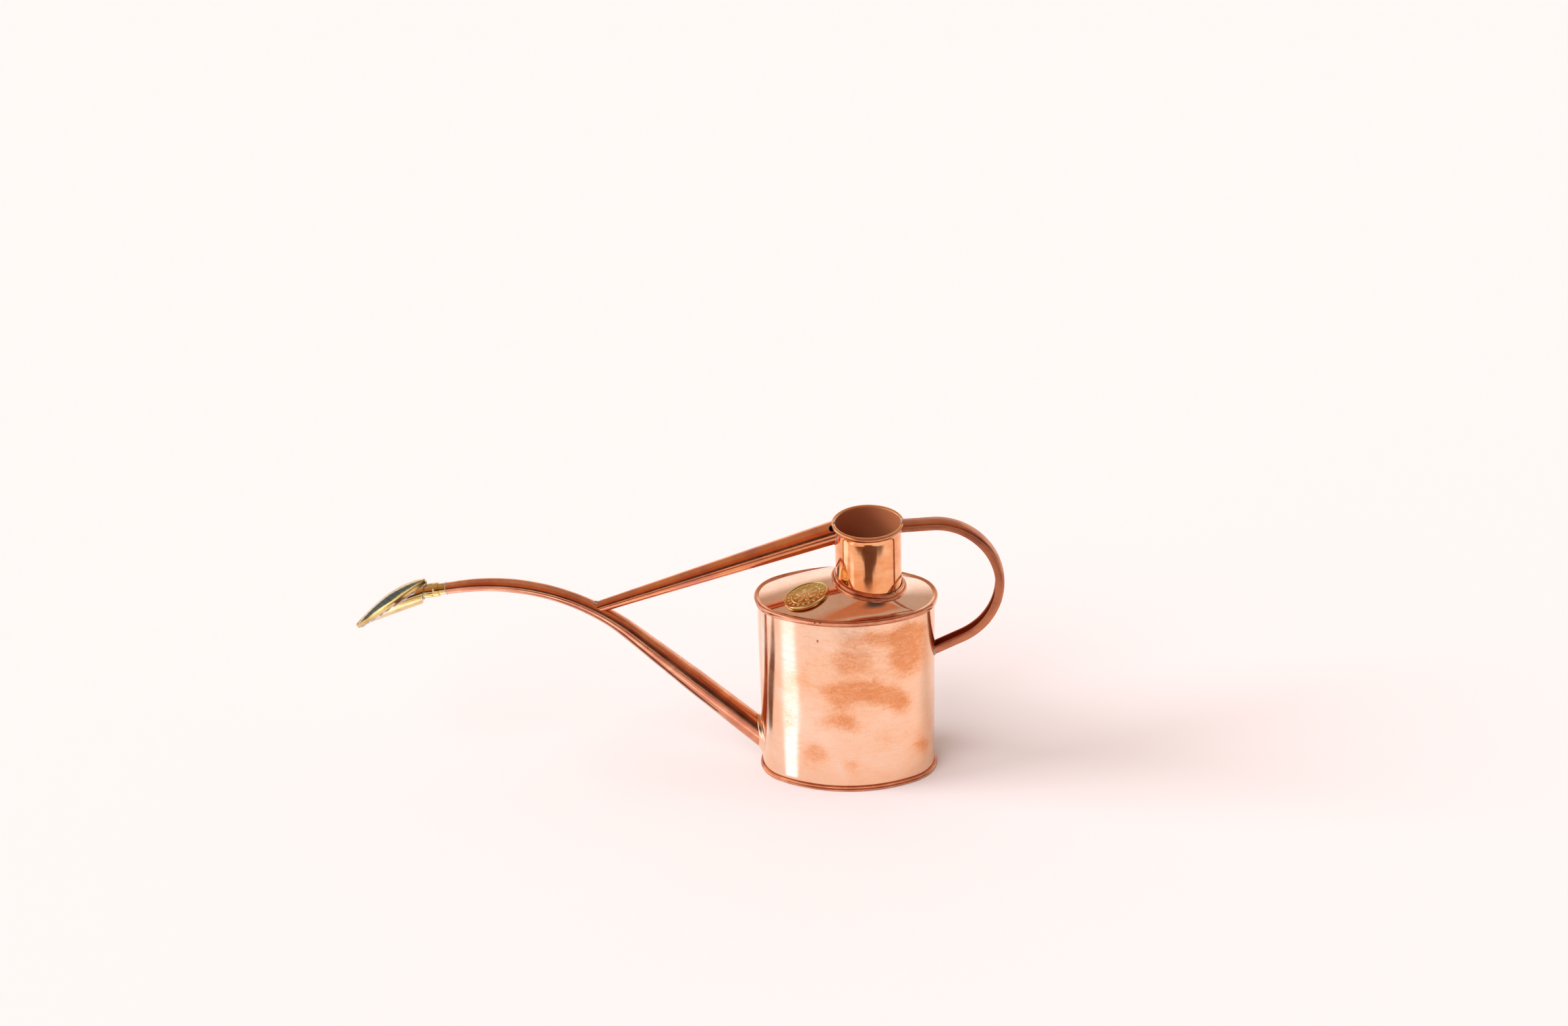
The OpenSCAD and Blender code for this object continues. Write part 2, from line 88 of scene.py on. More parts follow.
TIP = np.array(joint("rose_turn")["pos_m"]) / MM
TIP_AXIS = np.array(joint("rose_turn")["axis"])
TIP_DIP = math.asin(-TIP_AXIS[2])
TIP_LENGTH = 9.2
TIP_R = 4
BEND_R = 138.8
SPOUT_SLOPE = math.radians(43.3)
SPOUT_INSIDE = 4  # how far inside the wall its rings start

STRUT_FOOT = np.array([-172, 0, 124.7])
STRUT_SLOPE = math.radians(19.5)
STRUT_R = (4, 8)
STRUT_START = 0.5  # from its foot
STRUT_END_X = -2  # where it is at its widest
NOTCH_R = 2.5
NOTCH_DEPTH = 2  # of its straight part
NOTCH_TURN = math.radians(320)

HANDLE_W = 10.3
HANDLE_D = 6
HANDLE_TOP_Z = 188.3
HANDLE_RISE = math.radians(4)
HANDLE_BENDS = ((39.5, math.radians(38.5)), (47, math.radians(118.3)))
HANDLE_TOP_LEN = 20.4

FACE_LENGTH = 62
FACE_WIDTH = 21
FACE_SLOPE = math.radians(27.3)
FACE_NOSE_R = 2.4
FACE_TOP = (8.8, 13.6)
BACK_AT = 16.3
BACK_LEAN = math.radians(15.5)
HOLE_R = 0.5
HOLE_TURN = 0.1  # turns the holes so that none has a corner on the middle line of the face

ALONG = np.array([1.0, 0, 0])
ACROSS = np.array([0, 1.0, 0])
UP = np.array([0, 0, 1.0])


# ---- Mesh tools: all of them take millimetres ----
def unit(vector):
    vector = np.asarray(vector, float)
    return vector / np.linalg.norm(vector)


def unit_rows(vectors):
    return vectors / np.linalg.norm(vectors, axis=1)[:, None]


def smooth_step(low, high, value):
    part = np.clip((np.asarray(value, float) - low) / (high - low), 0, 1)
    return part * part * (3 - 2 * part)


def round_turns(count):
    """Angles spaced evenly round one full turn."""
    return np.linspace(0, 2 * math.pi, count, endpoint=False)


def grid_faces(rows, columns, rows_close, columns_close):
    """Quads of a grid of points, row by row."""
    faces = []
    for i in range(rows if rows_close else rows - 1):
        for j in range(columns if columns_close else columns - 1):
            a = i * columns + j
            b = i * columns + (j + 1) % columns
            c = (i + 1) % rows * columns
            faces.append((a, b, c + (j + 1) % columns, c + j))
    return faces


def new_object(name, data):
    made = bpy.data.objects.new(name, data)
    bpy.context.scene.collection.objects.link(made)
    return made


def paint(mesh, name, values):
    """Stores one number for each point of a mesh, for its material to read."""
    mesh.attributes.new(name, "FLOAT", "POINT").data.foreach_set("value", values)


def make_piece(name, parts, sharp=35):
    """One object from a list of (points, faces) parts, smooth apart from edges sharper than an angle."""
    mesh = bpy.data.meshes.new(name)
    points, faces = [], []
    for part_points, part_faces in parts:
        start = len(points)
        points.extend(np.asarray(part_points, float).reshape(-1, 3) * MM)
        faces.extend([tuple(start + k for k in face) for face in part_faces])
    mesh.from_pydata([tuple(p) for p in points], [], faces)
    work = bmesh.new()
    work.from_mesh(mesh)
    bmesh.ops.recalc_face_normals(work, faces=work.faces)
    work.to_mesh(mesh)
    work.free()
    mesh.shade_smooth()
    mesh.set_sharp_from_angle(angle=math.radians(sharp))
    return new_object(name, mesh)


def ring_solid(rings):
    """A closed skin through rings of points that come back to the first ring, like a sheet-metal sleeve."""
    rings = np.asarray(rings, float)
    return rings, grid_faces(len(rings), rings.shape[1], True, True)


def capped_tube(rings):
    """A skin through rings of points, closed at both ends."""
    rings = np.asarray(rings, float)
    rows, columns = rings.shape[:2]
    faces = grid_faces(rows, columns, False, True)
    faces.append(tuple(range(columns))[::-1])
    faces.append(tuple((rows - 1) * columns + k for k in range(columns)))
    return rings, faces


def round_corner(centre, r, start, end, steps=8):
    """Points of an arc in a 2-D profile, with angles in degrees."""
    turns = np.radians(np.linspace(start, end, steps + 1))
    return [(centre[0] + r * math.cos(t), centre[1] + r * math.sin(t)) for t in turns]


def four_arc_oval(a, b, end_r, count):
    """Points and outward normals of an oval of four arcs, about evenly spaced."""
    side_r = (a * a + b * b - 2 * a * end_r) / (2 * (b - end_r))
    meet = math.atan2(a - end_r, side_r - b)
    arcs = [
        ((a - end_r, 0), end_r, meet - math.pi / 2, math.pi / 2 - meet),
        ((0, b - side_r), side_r, math.pi / 2 - meet, math.pi / 2 + meet),
        ((end_r - a, 0), end_r, math.pi / 2 + meet, 1.5 * math.pi - meet),
        ((0, side_r - b), side_r, 1.5 * math.pi - meet, 1.5 * math.pi + meet),
    ]
    whole = sum(r * (end - start) for _, r, start, end in arcs)
    points, normals = [], []
    for centre, r, start, end in arcs:
        steps = max(8, round(count * r * (end - start) / whole))
        for turn in np.linspace(start, end, steps, endpoint=False):
            normal = (math.cos(turn), math.sin(turn))
            points.append((centre[0] + r * normal[0], centre[1] + r * normal[1]))
            normals.append(normal)
    return np.array(points), np.array(normals)


BODY_OVAL, BODY_NORMALS = four_arc_oval(HALF_L, HALF_W, END_R, 480)


def oval_ring(out, z):
    """Ring round the body: out and z may change round it."""
    plan = BODY_OVAL + np.reshape(out, (-1, 1)) * BODY_NORMALS
    heights = np.broadcast_to(z, len(plan))
    return np.column_stack([plan, heights])


def oval_sleeve(profile):
    """A closed profile of (out, z) swept round the body."""
    return ring_solid([oval_ring(out, z) for out, z in profile])


def circle_ring(centre, across, up, r, count=96):
    turns = round_turns(count)
    return centre + np.outer(r * np.cos(turns), up) + np.outer(r * np.sin(turns), across)


def lathe(profile, origin, axis, up, count=96):
    """A closed profile of (radius, distance along the axis) turned about the axis."""
    across = np.cross(axis, up)
    return ring_solid([circle_ring(origin + d * axis, across, up, r, count) for r, d in profile])


def bead(path, radii, closed=False, sides=10):
    """A bead of solder along a path."""
    path = np.asarray(path, float)
    if closed:
        ahead = np.roll(path, -1, axis=0) - np.roll(path, 1, axis=0)
        middle = path.mean(axis=0)
    else:
        ahead = np.gradient(path, axis=0)
        middle = path.mean(axis=0) + 1e-3
    ahead = unit_rows(ahead)
    outward = path - middle
    outward = unit_rows(outward - np.sum(outward * ahead, axis=1)[:, None] * ahead)
    side = np.cross(ahead, outward)
    rings = [circle_ring(*ring, sides) for ring in zip(path, side, outward, radii)]
    return ring_solid(rings) if closed else capped_tube(rings)


def uneven(count, seed, waves=6):
    """A smooth uneven loop of numbers from -1 to 1 that repeats."""
    rng = np.random.default_rng(seed)
    turns = round_turns(count)
    total = np.zeros(count)
    for wave in range(1, waves + 1):
        total += rng.normal() * np.sin(wave * turns * 2 + rng.uniform(0, 6.3))
    return total / np.abs(total).max()


def drop(centre, size, stretch, steps=12):
    """A small rounded droplet."""
    rings = []
    for lat in np.linspace(-math.pi / 2 + 0.05, math.pi / 2 - 0.05, steps):
        ring = circle_ring(np.zeros(3), ACROSS, ALONG, size * math.cos(lat), 20)
        ring[:, 2] += size * math.sin(lat)
        rings.append(centre + ring * np.array(stretch))
    return capped_tube(rings)


# ---- Materials ----
EVENLY = (1, 1, 1)
SPOT_SCALE = 420
SMEAR_SCALE = 60
WAVE_SCALE = 28


def fill(tree, node, values):
    """Sets inputs of a node, each from a value or from another node's output."""
    for name, value in values.items():
        if isinstance(value, bpy.types.NodeSocket):
            tree.links.new(value, node.inputs[name])
        else:
            node.inputs[name].default_value = value


def add(tree, kind, values=None, **settings):
    node = tree.nodes.new(kind)
    for name, value in settings.items():
        setattr(node, name, value)
    fill(tree, node, values or {})
    return node


def painted(tree, name):
    """The numbers that paint() stored in the mesh."""
    return add(tree, "ShaderNodeAttribute", attribute_name=name).outputs["Fac"]


def place_noise(tree, stretch, scale, detail, roughness=0.55, distortion=0.0):
    """Noise in the object's own coordinates, stretched by a factor along each axis."""
    coords = add(tree, "ShaderNodeTexCoord").outputs["Object"]
    mapping = add(tree, "ShaderNodeMapping", {"Vector": coords, "Scale": stretch})
    values = {"Scale": scale, "Detail": detail, "Roughness": roughness, "Distortion": distortion}
    noise = add(tree, "ShaderNodeTexNoise", {"Vector": mapping.outputs["Vector"], **values})
    return noise.outputs["Fac"]


def ramp(tree, value, stops):
    node = add(tree, "ShaderNodeValToRGB", {"Fac": value})
    elements = node.color_ramp.elements
    while len(elements) < len(stops):
        elements.new(0.5)
    for element, (at, colour) in zip(elements, stops):
        element.position = at
        element.color = (*colour, 1)
    return node.outputs["Color"]


def mix_colour(tree, factor, first, second):
    node = add(tree, "ShaderNodeMix", {"Factor": factor}, data_type="RGBA")
    for socket, value in (("A", first), ("B", second)):
        target = next(s for s in node.inputs if s.name == socket and s.type == "RGBA")
        if isinstance(value, tuple):
            target.default_value = (*value, 1)
        else:
            tree.links.new(value, target)
    return next(s for s in node.outputs if s.type == "RGBA")


def map_range(tree, value, low, high, to_low, to_high):
    values = {"Value": value, "From Min": low, "From Max": high, "To Min": to_low, "To Max": to_high}
    return add(tree, "ShaderNodeMapRange", values).outputs["Result"]


def multiply_add(tree, value, factor, addend):
    node = add(tree, "ShaderNodeMath", {0: value, 1: factor, 2: addend}, operation="MULTIPLY_ADD")
    return node.outputs["Value"]


def join_bumps(tree, shader, bumps):
    """Chains (height, strength, distance) bumps on to a shader's normal."""
    before = None
    for height, strength, distance in bumps:
        values = {"Height": height, "Strength": strength, "Distance": distance}
        if before:
            values["Normal"] = before
        before = add(tree, "ShaderNodeBump", values).outputs["Normal"]
    tree.links.new(before, shader.inputs["Normal"])


def nodes_of(material):
    """A material's node tree and its main shader."""
    return material.node_tree, material.node_tree.nodes["Principled BSDF"]


def new_material(name, values):
    material = bpy.data.materials.new(name)
    material.use_nodes = True
    fill(*nodes_of(material), values)
    return material


def metal(name, stops, patch_scale, roughness, brushing, brush_depth, stain, ripple=0.0, grain=0.0):
    """Worn polished metal: colour patches, fine brushing, small stains and slight ripples in the sheet."""
    material = new_material(name, {"Metallic": 1.0})
    tree, shader = nodes_of(material)
    if grain:
        tangent = add(tree, "ShaderNodeTangent", direction_type="RADIAL", axis="Z").outputs["Tangent"]
        fill(tree, shader, {"Anisotropic": grain, "Anisotropic Rotation": 0.25, "Tangent": tangent})
    patches = place_noise(tree, (1, 1, 1.4), patch_scale, 5, 0.6, 0.4)
    fine = place_noise(tree, brushing, 1, 4, 0.6)
    spots = place_noise(tree, EVENLY, SPOT_SCALE, 3, 0.7)
    colour = ramp(tree, patches, stops)
    stained = mix_colour(tree, map_range(tree, spots, 0.66, 0.78, 0, 0.5), colour, stain)
    streaked = mix_colour(tree, map_range(tree, fine, 0.3, 0.8, 0, 0.22), stained, stain)
    smear = place_noise(tree, EVENLY, SMEAR_SCALE, 4, 0.6)
    rough = map_range(tree, smear, 0.3, 0.7, *roughness)
    fill(tree, shader, {"Base Color": streaked, "Roughness": rough})
    waves = place_noise(tree, EVENLY, WAVE_SCALE, 2, 0.4)
    join_bumps(tree, shader, [(fine, 0.35, brush_depth), (spots, 0.1, 0.00002), (waves, 0.5, ripple)])
    return material


BRUSHED_ROUND = (25, 25, 1500)
BRUSHED_ANY = (300, 300, 300)
BRUSH_DEPTH = 0.00001

# For each metal: colours of its patches, their scale, roughness, brushing and its depth, stain, and for
# some the ripple of the sheet and the strength of the grain
METALS = {
    "body_copper": (
        [(0.34, (0.95, 0.73, 0.57)), (0.54, (0.93, 0.63, 0.44)), (0.72, (0.89, 0.50, 0.30))],
        17, (0.10, 0.20), BRUSHED_ROUND, BRUSH_DEPTH, (0.72, 0.34, 0.20), 0.0002, 0.5,
    ),
    "shoulder_copper": (
        [(0.40, (0.95, 0.68, 0.55)), (0.58, (0.92, 0.58, 0.43)), (0.74, (0.84, 0.42, 0.27))],
        22, (0.07, 0.16), BRUSHED_ANY, BRUSH_DEPTH, (0.66, 0.33, 0.22), 0.0003,
    ),
    "neck_copper": (
        [(0.38, (0.94, 0.56, 0.31)), (0.52, (0.88, 0.43, 0.20)), (0.66, (0.78, 0.29, 0.10))],
        24, (0.05, 0.12), BRUSHED_ROUND, 0.000006, (0.64, 0.28, 0.15), 0.00015,
    ),
    "hem_copper": (
        [(0.35, (0.84, 0.43, 0.26)), (0.52, (0.72, 0.31, 0.17)), (0.70, (0.50, 0.18, 0.10))],
        60, (0.12, 0.25), BRUSHED_ANY, BRUSH_DEPTH, (0.36, 0.13, 0.08),
    ),
    "spout_copper": (
        [(0.36, (0.82, 0.40, 0.23)), (0.54, (0.70, 0.29, 0.16)), (0.72, (0.55, 0.21, 0.13))],
        45, (0.12, 0.26), BRUSHED_ANY, BRUSH_DEPTH, (0.40, 0.18, 0.12),
    ),
    "strut_copper": (
        [(0.36, (0.84, 0.33, 0.14)), (0.54, (0.74, 0.27, 0.12)), (0.72, (0.56, 0.20, 0.13))],
        40, (0.12, 0.24), BRUSHED_ANY, BRUSH_DEPTH, (0.38, 0.15, 0.10),
    ),
    "handle_copper": (
        [
            (0.34, (0.62, 0.25, 0.12)), (0.50, (0.54, 0.20, 0.10)),
            (0.62, (0.44, 0.15, 0.09)), (0.76, (0.32, 0.17, 0.12)),
        ],
        48, (0.28, 0.40), BRUSHED_ANY, BRUSH_DEPTH, (0.30, 0.14, 0.10),
    ),
    "badge_brass": (
        [(0.38, (1.0, 0.84, 0.46)), (0.62, (0.95, 0.75, 0.35))],
        90, (0.14, 0.24), BRUSHED_ANY, BRUSH_DEPTH, (0.42, 0.28, 0.09),
    ),
    "rose_brass": (
        [(0.36, (0.80, 0.62, 0.28)), (0.55, (0.70, 0.52, 0.20)), (0.72, (0.54, 0.37, 0.12))],
        70, (0.08, 0.18), BRUSHED_ANY, BRUSH_DEPTH, (0.38, 0.26, 0.10), 0.0002,
    ),
    "grey_solder": (
        [(0.36, (0.66, 0.63, 0.60)), (0.55, (0.50, 0.46, 0.43)), (0.70, (0.30, 0.26, 0.24))],
        300, (0.25, 0.45), BRUSHED_ANY, 0.00008, (0.20, 0.16, 0.14),
    ),
}
MATERIALS = {name: metal(name, *values) for name, values in METALS.items()}


def tint(tree, shader, amount, colour):
    """Mixes a colour over the one that a metal already has."""
    before = shader.inputs["Base Color"].links[0].from_socket
    tree.links.new(mix_colour(tree, amount, before, colour), shader.inputs["Base Color"])


def roughen(tree, shader, amount, most):
    """Adds up to the given roughness to what a metal already has."""
    before = shader.inputs["Roughness"].links[0].from_socket
    tree.links.new(multiply_add(tree, amount, most, before), shader.inputs["Roughness"])


def add_tarnish(material):
    """Orange and brown blotches with ragged, brushed edges, where the mesh says that it is tarnished."""
    tree, shader = nodes_of(material)
    marked = painted(tree, "tarnish")
    ragged = place_noise(tree, (1, 1, 2.0), 130, 9, 0.82, 0.8)
    speckle = place_noise(tree, EVENLY, 1100, 3, 0.8)
    fleck = multiply_add(tree, speckle, 1.5, multiply_add(tree, ragged, 2.2, -1.8))
    total = add(tree, "ShaderNodeMath", {0: marked, 1: fleck}, operation="ADD").outputs["Value"]
    amount = map_range(tree, total, -0.1, 1.15, 0, 0.95)
    tones = [(0.1, (0.94, 0.54, 0.29)), (0.5, (0.90, 0.39, 0.15)), (0.9, (0.78, 0.29, 0.10))]
    flecks = map_range(tree, speckle, 0.52, 0.7, 0, 0.35)
    tint(tree, shader, amount, mix_colour(tree, flecks, ramp(tree, amount, tones), (0.95, 0.60, 0.40)))
    roughen(tree, shader, amount, 0.14)


def add_wear_and_shade(material):
    """Dull dark brown where the mesh marks it: a little wear on the rim, most inside the neck, and painted shade
    on the neck where the strut meets it.
    """
    tree, shader = nodes_of(material)
    marked = painted(tree, "wear_and_shade")
    tint(tree, shader, marked, (0.42, 0.15, 0.07))
    tree.links.new(map_range(tree, marked, 0.5, 1, 1, 0.35), shader.inputs["Metallic"])
    roughen(tree, shader, marked, 0.35)


def add_hollows(material):
    """Darker metal where the mesh says that a relief is hollow."""
    tree, shader = nodes_of(material)
    tint(tree, shader, painted(tree, "hollow"), (0.72, 0.53, 0.20))


add_tarnish(MATERIALS["body_copper"])
add_hollows(MATERIALS["badge_brass"])
add_wear_and_shade(MATERIALS["neck_copper"])


def rubber():
    material = new_material("washer_rubber", {"Roughness": 0.7})
    tree, shader = nodes_of(material)
    speckle = place_noise(tree, EVENLY, 900, 3)
    colour = ramp(tree, speckle, [(0.4, (0.012, 0.012, 0.013)), (0.7, (0.03, 0.03, 0.032))])
    tree.links.new(colour, shader.inputs["Base Color"])
    join_bumps(tree, shader, [(speckle, 0.3, 0.00005)])
    return material


MATERIALS["washer_rubber"] = rubber()


def place(piece, material, slot, *nodes, body="can"):
    """Gives a piece its material and its body, and hides the CAD nodes that it stands for."""
    piece.data.materials.append(MATERIALS[material])
    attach(piece, body)
    if nodes:
        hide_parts(*nodes)
    return piece


# ---- Body ----
def wall_ripple(z):
    """Slight unevenness of the body wall, in millimetres, round it at one height."""
    turns = round_turns(len(BODY_OVAL))
    height = z / WALL_TOP
    swell = 0.12 * np.sin(5 * turns + 1.3 + 2.1 * height)
    swell += 0.08 * np.sin(9 * turns - 2.0 * height + 0.4) * math.sin(3 * math.pi * height)
    return swell * math.sin(math.pi * min(1, max(0, height)))


# Blotches of tarnish on the wall: X, height, half width, half height and strength
FRONT_BLOTCHES = (
    (43, 107, 14, 21, 1.0), (34, 122, 24, 8, 0.8), (5, 108, 14, 18, 0.5), (0, 78, 23, 11, 0.95),
    (34, 68, 13, 13, 1.05), (-1, 56, 17, 11, 0.85), (-24, 27, 10, 12, 0.75), (3, 20, 7, 10, 0.5),
    (-30, 86, 8, 8, 0.5), (-41, 52, 8, 8, 0.45), (53, 28, 9, 10, 0.9), (19, 78, 13, 10, 0.7),
    (12, 90, 42, 36, 0.35), (24, 40, 16, 12, 0.3),
)
BACK_BLOTCHES = (
    (-30, 95, 16, 12, 0.8), (12, 70, 20, 10, 0.7), (38, 104, 12, 12, 0.6), (-8, 38, 14, 8, 0.6),
)


def tarnish(points):
    """How tarnished the wall is at each point, from 0 to 1."""
    x, y, z = points[:, 0], points[:, 1], points[:, 2]
    total = np.zeros(len(points))
    for blotches, side in ((FRONT_BLOTCHES, -1), (BACK_BLOTCHES, 1)):
        for at_x, at_z, wide, high, amount in blotches:
            sway = 2.5 * np.sin(z / 7 + at_x) + 2 * np.sin(x / 5 + at_z)
            reach = np.hypot((x + sway - at_x) / wide, (z + sway * 0.6 - at_z) / high)
            facing = smooth_step(0.2, 0.5, side * y / HALF_W)
            total += amount * facing * (1 - smooth_step(0.2, 1.35, reach))
    return np.clip(total, 0, 1)


def build_wall():
    outer = [(z, wall_ripple(z)) for z in np.linspace(wall_low[2], WALL_TOP, 64)]
    rings = [oval_ring(ripple, z) for z, ripple in outer]
    rings += [oval_ring(ripple - SHEET, z) for z, ripple in reversed(outer)]
    wall = make_piece("wall", [ring_solid(rings)])
    paint(wall.data, "tarnish", tarnish(np.reshape(rings, (-1, 3))))
    place(wall, "body_copper", "copper", "body_wall")


def build_base():
    step = 0.6
    hem = [(-1.2, 0.4), (-1.0, 0.05), (-0.6, 0)]
    hem += round_corner((HEM_OUT - 1.1, 1.1), 1.1, -90, 60)
    hem += [(HEM_OUT - step - 0.1, 2.5)]
    hem += round_corner((HEM_OUT - step - 0.55, HEM_H - 0.6), 0.6, 0, 100)
    hem += [(0.15, HEM_H - 0.1), (-0.4, HEM_H - 0.9), (-1.2, HEM_H / 2)]
    plate_low, dome, last = 2.2, 1.2, 24
    plate = []
    for z, order in ((plate_low, range(last, -1, -1)), (plate_low + SHEET, range(last + 1))):
        for k in order:
            share = 0.02 + 0.98 * k / last
            ring = oval_ring(-1.1, z + dome * (1 - share ** 2))
            ring[:, :2] *= share
            plate.append(ring)
    parts = [oval_sleeve(hem), ring_solid(plate)]
    place(make_piece("base", parts), "hem_copper", "dark_copper", "base_plate")


def seat_point(r, turns, height):
    """Points on the collar's tilted seat, at a radius and at angles round the neck's axis."""
    x = r * np.cos(turns)
    c, s = math.cos(SEAT_TILT), math.sin(SEAT_TILT)
    z = WALL_TOP + SEAT_RISE - x * s + height * c
    return np.column_stack([NECK_X + x * c + height * s, r * np.sin(turns), z])


def build_shoulder():
    turns = np.arctan2(BODY_NORMALS[:, 1], BODY_NORMALS[:, 0])
    edge = oval_ring(-1.2, HEM_TOP - 0.2)
    inner = seat_point(NECK_R + COLLAR_W - 1.2, turns, -0.05)
    throat = seat_point(NECK_R + 0.05, turns, -0.3)

    span = np.linalg.norm(inner - edge, axis=1)
    rise = inner[:, 2] - edge[:, 2]
    short = 1 - smooth_step(12, 30, span)

    def skin(down):
        rings = []
        for part in np.linspace(0, 1, 41):
            ring = edge + (inner - edge) * part
            dish = (part - part ** 2.6) * rise * short
            crown = 0.7 * math.sin(math.pi * part) * (1 - short)
            ring[:, 2] += crown - dish - down
            rings.append(ring)
        rings.append(throat - [0, 0, down])
        return rings

    part = ring_solid(skin(0) + skin(1.1 * SHEET)[::-1])
    place(make_piece("shoulder", [part]), "shoulder_copper", "copper", "shoulder_plate")

    out = SHOULDER_OUT
    low = HEM_TOP - 2 * HEM_BAND
    hem = [(0, low + 0.4), (0.3, low)]
    hem += round_corner((out - 1.3, low + 0.7), 0.7, -80, 20)
    hem += [(out - 0.75, low + 1.45)]
    hem += round_corner((out - 1.15, HEM_TOP - 0.75), 1.15, -35, 110, 14)
    hem += [(-0.3, HEM_TOP + 0.05), (-1.6, HEM_TOP - 0.3), (-1.6, HEM_TOP - 0.9), (-0.5, low + 0.8)]
    place(make_piece("shoulder_hem", [oval_sleeve(hem)]), "hem_copper", "copper")


def build_collar():
    step = 1.7
    outer = NECK_R + COLLAR_W
    profile = [(NECK_R + 0.05, -0.6), (outer - 0.5, -0.6)]
    profile += round_corner((outer - 0.85, step - 0.85), 0.95, -70, 110, 12)
    profile += [(outer - step - 0.1, step - 0.25)]
    profile += round_corner((outer - step - 0.85, 2 * step - 0.75), 0.85, -50, 110, 12)
    profile += [(NECK_R + 0.5, 2 * step - 0.1), (NECK_R + 0.05, 2 * step + 0.5)]
    turns = round_turns(160)
    rings = [seat_point(r, turns, h) for r, h in profile]
    place(make_piece("collar", [ring_solid(rings)]), "hem_copper", "copper", "neck_collar")


def build_neck():
    foot = node_box("neck_tube")[0][2]
    bore = NECK_R - SHEET
    profile = [(NECK_R, foot)]
    profile += [(NECK_R, z) for z in np.linspace(foot + 4, RIM_Z - 4.2, 24)]
    profile += [(NECK_R + 0.12, RIM_Z - 3.2), (NECK_R + 0.45, RIM_Z - 2.3), (NECK_R + 1.05, RIM_Z - 1.55)]
    profile += round_corner((bore + RIM_BEAD_R + 0.1, RIM_Z), RIM_BEAD_R, -42, 165, 24)
    profile += [(bore, RIM_Z - 1), (bore, RIM_Z - 20), (bore, foot)]
    part = lathe(profile, np.array([NECK_X, 0, 0]), UP, ALONG, 200)
    neck = make_piece("neck", [part])

    # A little wear on the rim, most inside the neck, and painted shade on the neck where the strut meets it, seen
    # through the strut's notch
    x, y, z = np.reshape(part[0], (-1, 3)).T
    wear_and_shade = np.where(z > RIM_Z - 2.6, 0.35, 0.0)
    wear_and_shade[np.hypot(x - NECK_X, y) < NECK_R - 0.4] = 1.0
    above = z - STRUT_FOOT[2] - (x - STRUT_FOOT[0]) * math.tan(STRUT_SLOPE)
    off_axis = np.hypot(y, above * math.cos(STRUT_SLOPE))
    # Painted shade: the neck under the strut's end, seen through its notch, gets the full dark dull brown
    wear_and_shade[(x < NECK_X) & (off_axis < STRUT_R[1] - 1.6)] = 1.0
    paint(neck.data, "wear_and_shade", wear_and_shade)
    place(neck, "neck_copper", "copper", "neck_tube")


# ---- Spout ----
def in_side_plane(heading):
    """Unit vectors ahead and above for a heading in the can's middle plane, measured towards -X."""
    ahead = np.array([-math.cos(heading), 0, math.sin(heading)])
    return ahead, np.array([math.sin(heading), 0, math.cos(heading)])


def spout_path():
    """Middle, heading and outer radius of the spout's rings, from inside the wall to the tip."""
    ahead, above = in_side_plane(-TIP_DIP)
    bend_end = TIP - TIP_LENGTH * ahead
    centre = bend_end - BEND_R * above
    turns = np.linspace(SPOUT_SLOPE, -TIP_DIP, 90)
    bend = [centre + BEND_R * in_side_plane(t)[1] for t in turns]
    ahead, _ = in_side_plane(SPOUT_SLOPE)
    length = (-HALF_L - bend[0][0]) / -ahead[0]
    straight = [bend[0] - d * ahead for d in np.linspace(length + SPOUT_INSIDE, 0, 70, endpoint=False)]
    middles = straight + bend + [TIP]
    headings = [SPOUT_SLOPE] * len(straight) + list(turns) + [-TIP_DIP]
    steps = np.linalg.norm(np.diff(middles, axis=0), axis=1)
    walked = np.concatenate([[0], np.cumsum(steps)]) - SPOUT_INSIDE
    bend_length = BEND_R * (SPOUT_SLOPE + TIP_DIP)
    marks = [-SPOUT_INSIDE, 60, length] + [length + part * bend_length for part in (0.15, 0.35, 0.7, 1)]
    marks.append(length + bend_length + TIP_LENGTH)
    radii = np.interp(walked, marks, [9.0, 8.2, 6.2, 5.6, 5.1, 4.8, 4.2, TIP_R])
    return np.array(middles), headings, radii


def build_spout():
    middles, headings, radii = spout_path()

    def skin(thinner):
        rings = []
        for middle, heading, r in zip(middles, headings, radii):
            rings.append(circle_ring(middle, ACROSS, in_side_plane(heading)[1], r - thinner, 72))
        return rings

    part = ring_solid(skin(0) + skin(SHEET)[::-1])
    place(make_piece("spout", [part]), "spout_copper", "dark_copper", "spout_tube")


def wall_end_x(y, out=0.0):
    """Distance along X from the body's middle to the face of its round end."""
    return HALF_L - END_R + np.sqrt(np.maximum((END_R + out) ** 2 - np.asarray(y) ** 2, 0))


def build_root_collar():
    """Soft bead of metal round the spout's root, on the wall."""
    middles, _, radii = spout_path()
    ahead, above = in_side_plane(SPOUT_SLOPE)
    start = middles[0] + SPOUT_INSIDE * ahead
    profile = (
        (-0.3, -0.3), (1.9, -0.3), (1.8, 0.35), (1.2, 0.8), (0.8, 1.5), (0.5, 2.6), (-0.3, 3.2),
    )
    rings = []
    for grow, out in profile:
        points = []
        for turn in round_turns(96):
            spoke = math.cos(turn) * above + math.sin(turn) * ACROSS
            base = start + (radii[0] + grow) * spoke
            distance = (-wall_end_x(base[1], out) - base[0]) / ahead[0]
            points.append(base + distance * ahead)
        rings.append(points)
    piece = make_piece("root_collar", [ring_solid(rings)], 60)
    place(piece, "body_copper", "copper", "spout_root_collar")


